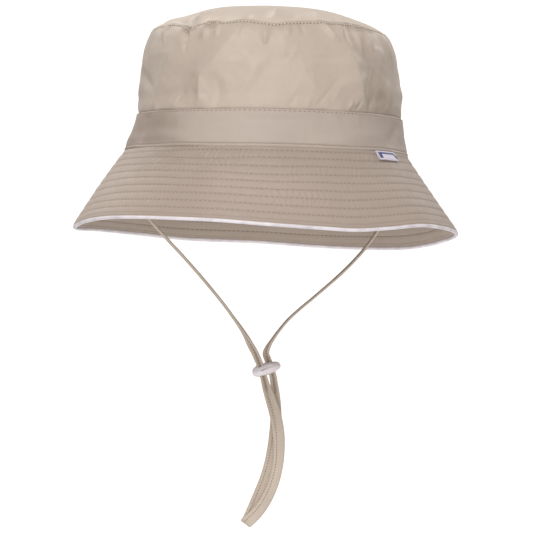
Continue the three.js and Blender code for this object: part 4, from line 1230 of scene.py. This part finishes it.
# Dents and soft waves of the band, in the columns of the side folds.
bandFolds = [
    (0.5, [(-39, 3, 1, 21, 15), (-40, 11, 1.6, 21, 15), (-41, 21, 1, 21, 15)]),
    (0.8, [(-63, 3, -0.8, 12, 13), (-64, 11, -1.7, 12, 13), (-65, 21, -1, 12, 13)]),
    (0.4, [(-46, 11, 0, 6, 5), (-45, 16, -0.7, 6, 5), (-44, 20, -0.9, 6, 5)]),
    (0.4, [(33, 11, 0, 5, 5), (32, 20, -0.9, 5, 5)]), (0.4, [(41, 12, 0, 5, 5), (40, 20, 0.6, 5, 5)]),
    (0.2, [(-58, 12, 0, 5, 5), (-41, 9, -0.6, 5, 5), (-26, 8, 0, 5, 5)]),
    (0.2, [(-28, 8, 0, 5, 5), (-8, 9, 0.6, 5, 5), (12, 9.5, 0, 5, 5)]),
    (0.2, [(-8, 14, 0, 4, 4), (5, 14.5, -0.6, 4, 4), (18, 14.5, 0, 4, 4)]),
    (0.2, [(8, 6, 0, 4, 4), (23, 7, -0.5, 4, 4), (38, 8.5, 0, 4, 4)]),
    (0.2, [(26, 6.5, 0, 5, 5), (41, 8, 0.5, 5, 5), (56, 9, 0, 5, 5)]),
    (0.3, [(60, 6, -0.3, 6, 6), (66, 11, -0.7, 6, 6), (72, 17, 0, 6, 6)]),
    (0.3, [(-80, 15, 0, 6, 6), (-72, 10, -0.6, 6, 6), (-64, 5, 0, 6, 6)]),
    (0.2, [(104, 8, 0, 5, 5), (122, 10, 0.6, 5, 5), (140, 12, 0, 5, 5)]),
    (0.2, [(160, 14, 0, 5, 5), (181, 11, -0.6, 5, 5), (202, 8, 0, 5, 5)]),
    (0.2, [(216, 8, 0, 5, 5), (234, 10, 0.6, 5, 5), (252, 12, 0, 5, 5)]),
]


def makeBand(values):
    angles = evenAngles(values["columns"])
    dense = splineRows(values["rings"], 24)
    total = runLength(dense)[-1]
    foot, top = values["footSeam"], total - values["topSeam"]
    past, short, count = values["middle"]
    places = np.unique([*values["lip"], *(foot + d for d in values["footLevels"]),
                        *np.linspace(foot + past, top - short, count),
                        *(top + d for d in values["topLevels"]), total])
    rows = resample(dense, places, 2)
    height = rows[:, 1:2]
    base = ovalPoints(rows[:, :1], angles, height)
    base[..., 0] += rows[:, 2:3]
    place = places[:, None]
    groove = values["grooveDepth"]
    low, lowShade = seamGroove(place - foot, groove)
    high, highShade = seamGroove(place - top, groove * values["topGroove"])
    inside = smoothstep(place, foot, foot + values["easeIn"])
    inside = inside * smoothstep(place, total, top - values["easeIn"])
    broad, broadHigh, broadLong = values["broadWave"]
    small, smallHigh, smallLong = values["smallWave"]
    wave = broad * ringNoise(angles, place / broadHigh, broadLong, 61)
    wave = wave + small * ringNoise(angles + place, place / smallHigh, smallLong, 62)
    lift = (foldLift(angles, height, bandFolds) + values["waveDepth"] * wave) * inside
    lift = lift + np.sin(np.pi * np.clip(place / foot, 0, 1)) * values["lipDepth"]
    lift = lift - values["topEase"] * smoothstep(place, top + 0.4, total) + low + high
    for seam, seed in ((top, 71), (foot, 72)):
        lift = lift + puckers(angles, np.abs(place - seam), crownValues, seed) * values["puckers"] * inside
    skin = base + gridNormals(base) * lift[..., None]
    fade = values["wobbleFade"]
    skin[..., 2] += values["footWobble"] * ringNoise(angles, 0, 24, 63) * np.exp(-place / fade)
    skin[..., 2] += values["topWobble"] * ringNoise(angles, 0, 30, 64) * np.exp(-(total - place) / fade)
    # painted shade in broad dents, less of it on the lip, and in the grooves of both seams
    hollow = hollowShade(angles, height, bandHollows)
    hollow = hollow * lerp(values["lipShade"], 1, smoothstep(place, foot - 0.2, foot + 2.4))
    shade = values["footShade"] * lowShade + values["topShade"] * highShade + hollow
    piece = clothWall("hatBand", skin, values["thick"], values["innerStep"], shade, bandCloth)
    dressed(piece, "band_fabric", "hat_band")
    return skin, [float(np.argmin(abs(places - seam))) for seam in (top, foot)]


def sewBand(values):
    skin, (top, foot) = makeBand(values)
    sewSeam("bandTop", skin, [top], values["topPitch"], "band_fabric", values["topThread"],
            values["topHole"])
    sewSeam("bandFoot", skin, [foot], values["footPitch"], "band_fabric", values["footThread"],
            values["footHole"])


sewBand(bandValues)
print("band made")


# Brim.
brimValues = {
    "root": 79.3, "thick": 2.0, "cloth": 0.9, "innerStep": 9,
    "collar": [(78.5, 0.15), (76.9, 4)], "collarDrop": 0.9,  # the under panel's collar starts lower
    "slant": 50.5,  # way down that the shares stand for
    "firstRow": 0.052, "rowStep": 0.1025, "rows": 9,  # shares of the way down
    "edgeLevels": (0, 0.5, 1, 1.45, 1.85, 2.2, 2.7, 3.6),  # up from the edge
    "rowLevels": (-0.38, 0, 0.38, 0.85), "between": (0.33, 0.5, 0.67, 0.83), "lastLevels": (1.7, 2.6),
    "rootLevels": (0.85, 1.5, 2.1),  # up from the first row
    "puff": 0.3, "puffLeft": 0.6, "puffRight": 0.28, "groove": 0.16, "uneven": 0.3,
    "rowShift": 0.003, "rowTilt": 0.012, "waver": 0.02,
    "ripple": 0.29, "underRipple": 0.5, "rippleWide": 3.2, "girth": 560,
    "rippleBend": 1.6, "rippleLean": 0.35, "rippleShift": 0.37,  # turns, and turns from row to row
    "busy": (0.32, 0.45, 1.1),  # least of the ripples, more in patches, and more at the left
    "busyAt": -33, "busyWide": 19, "busyRows": (0.62, 0.1),
    "edgeDent": 0.12, "dentAt": 2.0, "dentWide": 0.4, "edgeSwell": 0.16, "swellAt": 1.2, "swellWide": 0.5,
    "grooveWide": 0.42, "rowLeast": 0.85, "rowVaries": 0.3,
    # painted shade: in the stitch grooves, in the dent and at the rim of the edge, towards the root, and on
    # the collar under the band's foot
    "grooveShade": 0.2, "dentShade": 0.14, "edgeShade": 0.2, "rootShade": 0.1, "collarShade": 0.15,
    "fade": 0.32, "unshadedAt": -86, "unshadedWide": 26,  # painted shade over the brim but its far left, which so reads lit
    # less painted shade on the underside, and less still towards its right, so that it reads lit there
    "underShadeCut": 0.15, "underShadeCutRight": 0.5, "underShadeCutAt": 88, "underShadeCutWide": 30,
    "underPuff": 0.8, "underTuck": 0.014,
    "pitch": 2.8, "topColumns": 860, "underColumns": 520,
    # the hole beads are painted shadow in the needle holes
    "thread": bead(1.2, 0.3, 0.26, 0.04, 0.06, 12), "hole": bead(1.3, 0.32, 0.16, 0.05, 0.2, 13),
    "underHole": bead(1.7, 0.6, 0.3, 0.05, 0.2, 13),
}

# Edge of the brim: angle, drop and reach outwards.
brimEdge = [
    (0, 42.1, 27.5), (18, 43.5, 25), (28, 43.9, 25), (39, 42.3, 27), (52, 39.7, 30), (65, 40.1, 30),
    (80, 41.6, 29.5), (90, 42.8, 29), (100, 44.4, 27.4), (113, 47, 25), (125, 48.7, 23.4),
    (140, 48.9, 23.3), (160, 47.9, 24.2), (180, 45.8, 25.9), (207, 44.9, 26.8), (228, 42.8, 28.2),
    (245, 42.2, 28.8), (262, 42.8, 28.4), (282, 42.2, 28.6), (295, 40.4, 29.9), (308, 39.1, 31),
    (322, 39.1, 30.4), (335, 39.8, 29.4), (347, 40.6, 28.7), (360, 42.1, 27.5),
]


def brimEdgeAt(angle):
    rows = np.array(brimEdge, float)
    around = np.array([360, 0, 0])
    dense = splineRows(np.vstack([rows[-2] - around, rows, rows[1] + around]), 12)
    a = np.mod(angle, 360)
    return (np.interp(a, dense[:, 0], dense[:, k]) for k in (1, 2))


# Points of the plain brim at shares of the way down. It is a little hollow, less so at the right.
def brimBase(share, angle):
    drop, reach = brimEdgeAt(angle)
    curve = 0.94 + 0.1 * smoothstep(np.sin(np.radians(angle)), 0.3, 0.95)
    half = brimValues["root"] + reach * np.maximum(share, 0) ** curve
    return ovalPoints(half, angle, -drop * share)


# Shares of the brim's levels, from its edge up, close together at each row of stitches.
def brimShares(values):
    slant = values["slant"]
    step = values["rowStep"] * slant
    marks = [values["firstRow"] * slant + k * step for k in range(values["rows"])]
    places = [slant - d for d in values["edgeLevels"]]
    places += [mark + d for mark in marks for d in values["rowLevels"]]
    places += [mark + step * d for mark in marks[:-1] for d in values["between"]]
    places += [marks[-1] + d for d in values["lastLevels"]]
    places += [marks[0] - d for d in values["rootLevels"]]
    return np.array(sorted(set(places), reverse=True)) / slant, np.array(marks) / slant


# Height of the quilting over the flat brim, and the shade painted on it, at each level and column.
def quilting(shares, marks, angles, values, ripple, seed):
    slant = values["slant"]
    channel = (shares - marks[0]) / values["rowStep"]
    inRow = np.clip(np.floor(channel), -1, len(marks) - 1)
    part = channel - inRow
    lastRow = np.clip((shares - marks[-1]) / (1 - values["dentAt"] / slant - marks[-1]), 0, 1)
    part = np.where(channel > len(marks) - 1, lastRow, part)
    dome = np.clip(1 - (2 * part - 1) ** 2, 0, 1)[:, None] ** 0.8
    row, part = inRow[:, None], part[:, None]
    shares = shares[:, None]
    sideways = np.sin(np.radians(angles))
    flatter = np.where(sideways < 0, values["puffLeft"], values["puffRight"]) * sideways ** 2
    strength = values["rowLeast"] + values["rowVaries"] * ringNoise(angles, row * 1.7, 32, seed)
    strength = strength * (1 - flatter)
    lift = values["puff"] * dome * strength
    shade = np.zeros(lift.shape)
    # painted shade in each row's stitch groove
    for mark in marks:
        sink, dark = seamGroove((shares - mark) * slant, values["groove"], values["grooveWide"])
        lift, shade = lift + sink, shade + values["grooveShade"] * dark
    least, patchy, leftward = values["busy"]
    left = bell(angleFrom(angles, values["busyAt"]), values["busyWide"])
    left = left * smoothstep(shares, *values["busyRows"])
    busy = least + patchy * np.clip(ringNoise(angles, row * 2.3 + 9, 26, seed + 1), 0, 1) + leftward * left
    busy = busy * (0.6 + 0.8 * ringNoise(angles, row * 4.7, 6.5, seed + 5))
    bend = values["rippleBend"] * ringNoise(angles, row * 3.1 + part * 0.4, 13, seed + 2)
    turns = angles / 360 * values["girth"] / values["rippleWide"] + part * values["rippleLean"]
    turns = turns + bend + row * values["rippleShift"]
    lift = lift + ripple * busy * np.sin(fullTurn * turns) * dome
    uneven = ringNoise(angles, shares * 2.2, 42, seed + 3)
    lift = lift + values["uneven"] * uneven * smoothstep(1 - shares, 0, 0.08)
    edge = (1 - shares) * slant
    dent = bell(edge - values["dentAt"], values["dentWide"])
    swell = bell(edge - values["swellAt"], values["swellWide"])
    lift = lift - values["edgeDent"] * dent + values["edgeSwell"] * swell
    # painted shade in the edge's dent and along the rim, and darker towards the root
    shade = shade + values["dentShade"] * dent + values["edgeShade"] * bell(edge, values["dentWide"])
    shade = shade + values["rootShade"] * smoothstep(shares, 0.55, 0)
    # painted shade over all of the brim but its far left, so that the left reads lit
    shade = shade + values["fade"] * (1 - bell(angleFrom(angles, values["unshadedAt"]), values["unshadedWide"]))
    return lift, np.clip(shade, 0, 1)


def makeBrim(values, top):
    angles = evenAngles(values["topColumns" if top else "underColumns"])
    shares, marks = brimShares(values)
    down = shares[:, None]
    shift = values["rowShift"] - values["rowTilt"] * np.sin(np.radians(angles))
    waver = values["waver"] * ringNoise(angles, down * 6, 30, 81) * smoothstep(down, 1.1, 0.2)
    real = down + (shift + waver) * smoothstep(down, 1, 0.9) * smoothstep(down, 0, 0.06)
    if not top:
        real = real - values["underTuck"] * smoothstep(real, 0.9, 1)
    base = brimBase(real, angles)
    normal = gridNormals(base)
    ripple = values["ripple"] if top else values["underRipple"]
    lift, shade = quilting(shares, marks, angles, values, ripple, 91 if top else 95)
    collar = values["collar"]
    if not top:
        lift = -(values["thick"] + lift * values["underPuff"])
        # painted shade on the underside, cut back towards the right so that it reads lit there
        right = bell(angleFrom(angles, values["underShadeCutAt"]), values["underShadeCutWide"])
        shade = shade * (1 - values["underShadeCut"] - values["underShadeCutRight"] * right)
        (low, foot), (high, head) = collar
        collar = [(low - values["thick"], foot - values["collarDrop"]), (high - values["thick"], head)]
    rings = np.stack([ovalPoints(half, angles[0], height) for half, height in collar])
    skin = np.concatenate([base + normal * lift[..., None], rings])
    # painted shade on the collar under the band's foot
    shade = np.concatenate([shade, np.full(rings.shape[:2], values["collarShade"])])
    levels = [int(np.argmin(abs(shares - mark))) for mark in marks]
    if not top:
        skin, shade = skin[::-1], shade[::-1]
        levels = [len(skin) - 1 - level for level in levels]
    name = "brimTop" if top else "brimUnder"
    piece = clothWall(name, skin, values["cloth"], values["innerStep"], shade, brimCloth)
    dressed(piece, "brim_fabric", "brim")
    return skin, levels


def makeBrims(values):
    skin, levels = makeBrim(values, True)
    sewSeam("brim", skin, levels, values["pitch"], "brim_fabric", values["thread"], values["hole"],
            shaded=softHoleShade)
    skin, levels = makeBrim(values, False)
    # the underside gets only dark beads: painted shadow of its sunken stitches
    sewSeam("brimUnder", skin, levels, values["pitch"], "brim_fabric", None, values["underHole"])


makeBrims(brimValues)
print("brim made")


# Piping.
pipingValues = {
    "radius": 1.04, "gap": -0.34, "sink": 0.62, "columns": 900, "sides": 14,
    "rear": (-30, 70), "rearSink": 0.26, "rearTuck": 0.3,  # from and to y, share of the thickness, mm
    # frontShade is painted shade on the front of the piping, so that its rear reads whiter, as if lit
    "wobble": 0.03, "uneven": 0.02, "frontShade": 0.42,
    "light": (0.9, 0.855, 0.895, 1), "dark": (0.6, 0.56, 0.6, 1),
    "twist": 0.0006,  # metres a turn
    "twistShare": 0.25, "mottles": 140, "mottleShare": 0.5, "rough": 0.5, "mottleRough": 0.1,
}


# Smooth white cloth with a fine twist along its UV map, darkened by the mesh's painted shade.
def pipingMaterial(values):
    s = Shader("white piping cloth", {"IOR": 1.45, "Specular IOR Level": 0.4, "Sheen Weight": 0.1,
                                      "Sheen Roughness": 0.4})
    _, around, along = s.clothMap()
    ply = s.maths("SINE", (around + along) * (fullTurn / values["twist"]))
    mottle = s.noise(s.place(), values["mottles"], 3)
    darker = s.spread(mottle, 0.35, 0.7) * values["mottleShare"] + s.paintedShade()
    tone = s.mixColour(darker, values["light"], values["dark"])
    s.set("Base Color", s.mixColour(s.spread(ply, 0.2, -1) * values["twistShare"], tone, values["dark"]))
    s.set("Roughness", values["rough"] + values["mottleRough"] * mottle)
    s.set("Normal", s.bump(ply + mottle, 0.00005, 0.5))
    return s.material


def makePiping(values):
    sides, radius = values["sides"], values["radius"]
    angles = evenAngles(values["columns"])
    base = brimBase(np.array([[1.0], [0.99]]), angles)
    normal = gridNormals(base)[0]
    down = unit(base[0] - base[1])
    wobble = values["wobble"] * ringNoise(angles, 0, 18, 101)[0][:, None]
    rear = smoothstep(base[0][:, 1:2], *values["rear"])
    sink = brimValues["thick"] * (values["sink"] + values["rearSink"] * rear)
    past = values["gap"] + radius - values["rearTuck"] * rear
    middle = base[0] + normal * (wobble - sink) + down * past
    radius = radius * (1 + values["uneven"] * ringNoise(angles, 0, 9, 102)[0][:, None])
    turns = np.arange(sides) * fullTurn / sides
    grid = np.stack([middle + (normal * math.sin(t) - down * math.cos(t)) * radius for t in turns])
    quads, corners = gridQuads(sides, len(middle), True, True)
    uv = gridUv(grid, corners).reshape(-1, 4, 2)[:, ::-1].reshape(-1, 2)
    # painted shade on the front piping, none at the rear
    shade = np.repeat(values["frontShade"] * (1 - rear).T, sides, 0)
    faces = quads[:, ::-1].tolist()
    return makeObject("brimPiping", grid.reshape(-1, 3), faces, uv, shade, pipingMaterial(values))


brimPiping = makePiping(pipingValues)
dressed(brimPiping, "piping_cord", "brim_piping")


# Label.
labelValues = {
    "fromAngle": 48.2, "toAngle": 60.8, "top": 0.7, "wide": 18.2, "long": 5.9, "lift": 0.5, "thick": 0.7,
    "along": 60, "down": 16,
    "puff": 0.18, "wave": 0.12, "waveEnd": 7, "foldRound": 0.35, "headRound": 0.2,
    "ink": (0.014, 0.03, 0.15, 1), "light": (0.6, 0.555, 0.64, 1), "dark": (0.5, 0.455, 0.53, 1),
    "yarns": (0.0004, 0.0003),
    "block": (0.001, 0.0037, 0.0009, 0.0051),  # metres from and to, across and down
    "stripe": (0.0034, 0.0168, 0.0009, 0.0023),
    "bar": (0.0132, 0.0156, 0.0018, 0.0051), "barLean": 0.7,
}


def labelMaterial(values):
    s = Shader("woven label", {"IOR": 1.45, "Specular IOR Level": 0.4})
    _, across, down = s.clothMap()

    def patch(sideways, place):
        left, right, head, foot = place
        inside = s.maths("GREATER_THAN", sideways, left) * s.maths("LESS_THAN", sideways, right)
        return inside * s.maths("GREATER_THAN", down, head) * s.maths("LESS_THAN", down, foot)

    wide, high = values["yarns"]
    weave = s.maths("SINE", across * (fullTurn / wide)) * s.maths("SINE", down * (fullTurn / high))
    slanted = across - down * values["barLean"]
    marks = patch(across, values["block"]) + patch(across, values["stripe"]) + patch(slanted, values["bar"])
    white = s.mixColour(s.spread(weave, -1, 1) * 0.3, values["light"], values["dark"])
    s.set("Base Color", s.mixColour(s.maths("MINIMUM", marks, 1.0), white, values["ink"]))
    s.set("Roughness", 0.5 + 0.1 * weave)
    s.set("Normal", s.bump(weave, 0.00004, 0.5))
    return s.material


def makeLabel(values):
    along, long = values["along"], values["long"]
    a = np.linspace(values["fromAngle"], values["toAngle"], along)
    drop, reach = brimEdgeAt(a)
    places = np.linspace(0, long, values["down"])
    shares = (values["top"] + places)[:, None] / np.hypot(drop, reach)[None, :]
    base = brimBase(shares, a[None, :])
    normal = unit(np.cross(np.gradient(base, axis=0), np.gradient(base, axis=1)))
    part = (places / long)[:, None]
    puff = values["puff"] * np.sin(np.pi * np.clip(part, 0, 1))
    wave = values["wave"] * np.sin(np.linspace(0, values["waveEnd"], along))[None, :] * part
    high = base + normal * (values["lift"] + values["thick"] + puff + wave)[..., None]
    low = base + normal * (values["lift"] + puff * 0.3 + wave)[..., None]
    fold = (high[-1] + low[-1]) / 2 + unit(base[-1] - base[-2]) * values["foldRound"]
    head = (high[0] + low[0]) / 2 - unit(base[1] - base[0]) * values["headRound"]
    rows = np.concatenate([high, fold[None], low[::-1], head[None]])
    levels = len(rows)
    quads, corners = gridQuads(levels, along, False, True)
    bare = 20  # the back's place on the UV map, past the marks
    u = np.linspace(0, values["wide"], along)
    v = np.concatenate([places, [long], places[::-1] + bare, [bare, 0]])
    uv = np.stack([np.stack([u[b], v[k]], -1) for k, b in corners[::-1]], 2).reshape(-1, 2)
    points = np.vstack([rows.reshape(-1, 3), rows[:, 0].mean(0), rows[:, -1].mean(0)])
    ends = []
    for column, pole, step in ((0, len(points) - 2, 1), (along - 1, len(points) - 1, -1)):
        for k in range(levels):
            pair = (k * along + column, (k + 1) % levels * along + column)
            ends.append((pole, *pair[::step]))
    uv = np.vstack([uv, np.full((len(ends) * 3, 2), bare + 1.0)]) * mm
    faces = quads[:, ::-1].tolist() + ends
    return makeObject("labelTab", points, faces, uv, None, labelMaterial(values))


labelTab = makeLabel(labelValues)
dressed(labelTab, "label_tape", "label")
print("piping and label made")


# Floor, backdrop and light.
stageValues = {
    "floor": -1.0, "wall": 7.0, "wide": 16, "high": 8, "round": 2.5, "front": -6,
    "paper": (0.8, 0.8, 0.8, 1), "paperGlow": 0.1,
    "board": (1.3, 1.3, 4.4), "boardGlow": 0.56,
}


def stagePiece(name, points, faces, paper, glow):
    mesh = plainMesh(name, points, faces)
    mesh.shade_smooth()
    s = Shader(name + " paper", {"Base Color": paper, "Roughness": 0.9, "Specular IOR Level": 0.1,
                                 "Emission Color": (1, 1, 1, 1), "Emission Strength": glow})
    s.set("Normal", s.bump(s.noise(s.place(), 30, 2), 0.002, 0.05))
    mesh.materials.append(s.material)
    linkObject(name, mesh)


# A pale sweep of floor and wall, and a bright board behind the hat.
def makeStage(values):
    wall, floor, bend, half = values["wall"], values["floor"], values["round"], values["wide"] / 2
    turn = np.linspace(0, math.pi / 2, 16)
    profile = [(values["front"], floor)]
    profile += [(wall - bend * (1 - math.sin(t)), floor + bend * (1 - math.cos(t))) for t in turn]
    profile += [(wall, values["high"])]
    points = [(x, y, z) for y, z in profile for x in (-half, half)]
    faces = [(2 * k, 2 * k + 1, 2 * k + 3, 2 * k + 2) for k in range(len(profile) - 1)]
    stagePiece("backdrop", points, faces, values["paper"], values["paperGlow"])
    wide, high, y = values["board"]
    corners = [(x * wide / 2, y, z * high / 2) for x, z in ((-1, -1), (1, -1), (1, 1), (-1, 1))]
    stagePiece("board", corners, [(0, 1, 2, 3)], values["paper"], values["boardGlow"])


lightValues = {
    "world": 0.45, "warm": (1, 0.945, 0.89),
    # Name, turn from the front towards +X, height in degrees, distance, size and power.
    "lamps": [("key", -8, 48, 3.2, 0.9, 56), ("front", -3, -13, 3.3, 1.6, 50),
              ("leftRim", -145, 40, 3.0, 1.2, 28), ("rightRim", 140, 30, 3.0, 1.2, 20)],
}


def makeLights(values):
    world = bpy.data.worlds.new("studio")
    bpy.context.scene.world = world
    world.use_nodes = True
    sky = world.node_tree.nodes["Background"].inputs
    sky["Color"].default_value = (*values["warm"], 1)
    sky["Strength"].default_value = values["world"]
    for name, turn, rise, far, size, power in values["lamps"]:
        turn, rise = math.radians(turn), math.radians(rise)
        data = bpy.data.lights.new(name, "AREA")
        data.size, data.energy = size, power
        lamp = linkObject(name, data)
        level = math.cos(rise)
        lamp.location = Vector((math.sin(turn) * level, -math.cos(turn) * level, math.sin(rise))) * far
        lamp.rotation_euler = (-lamp.location).to_track_quat("-Z", "Y").to_euler()


makeStage(stageValues)
makeLights(lightValues)
print("stage and lights made")
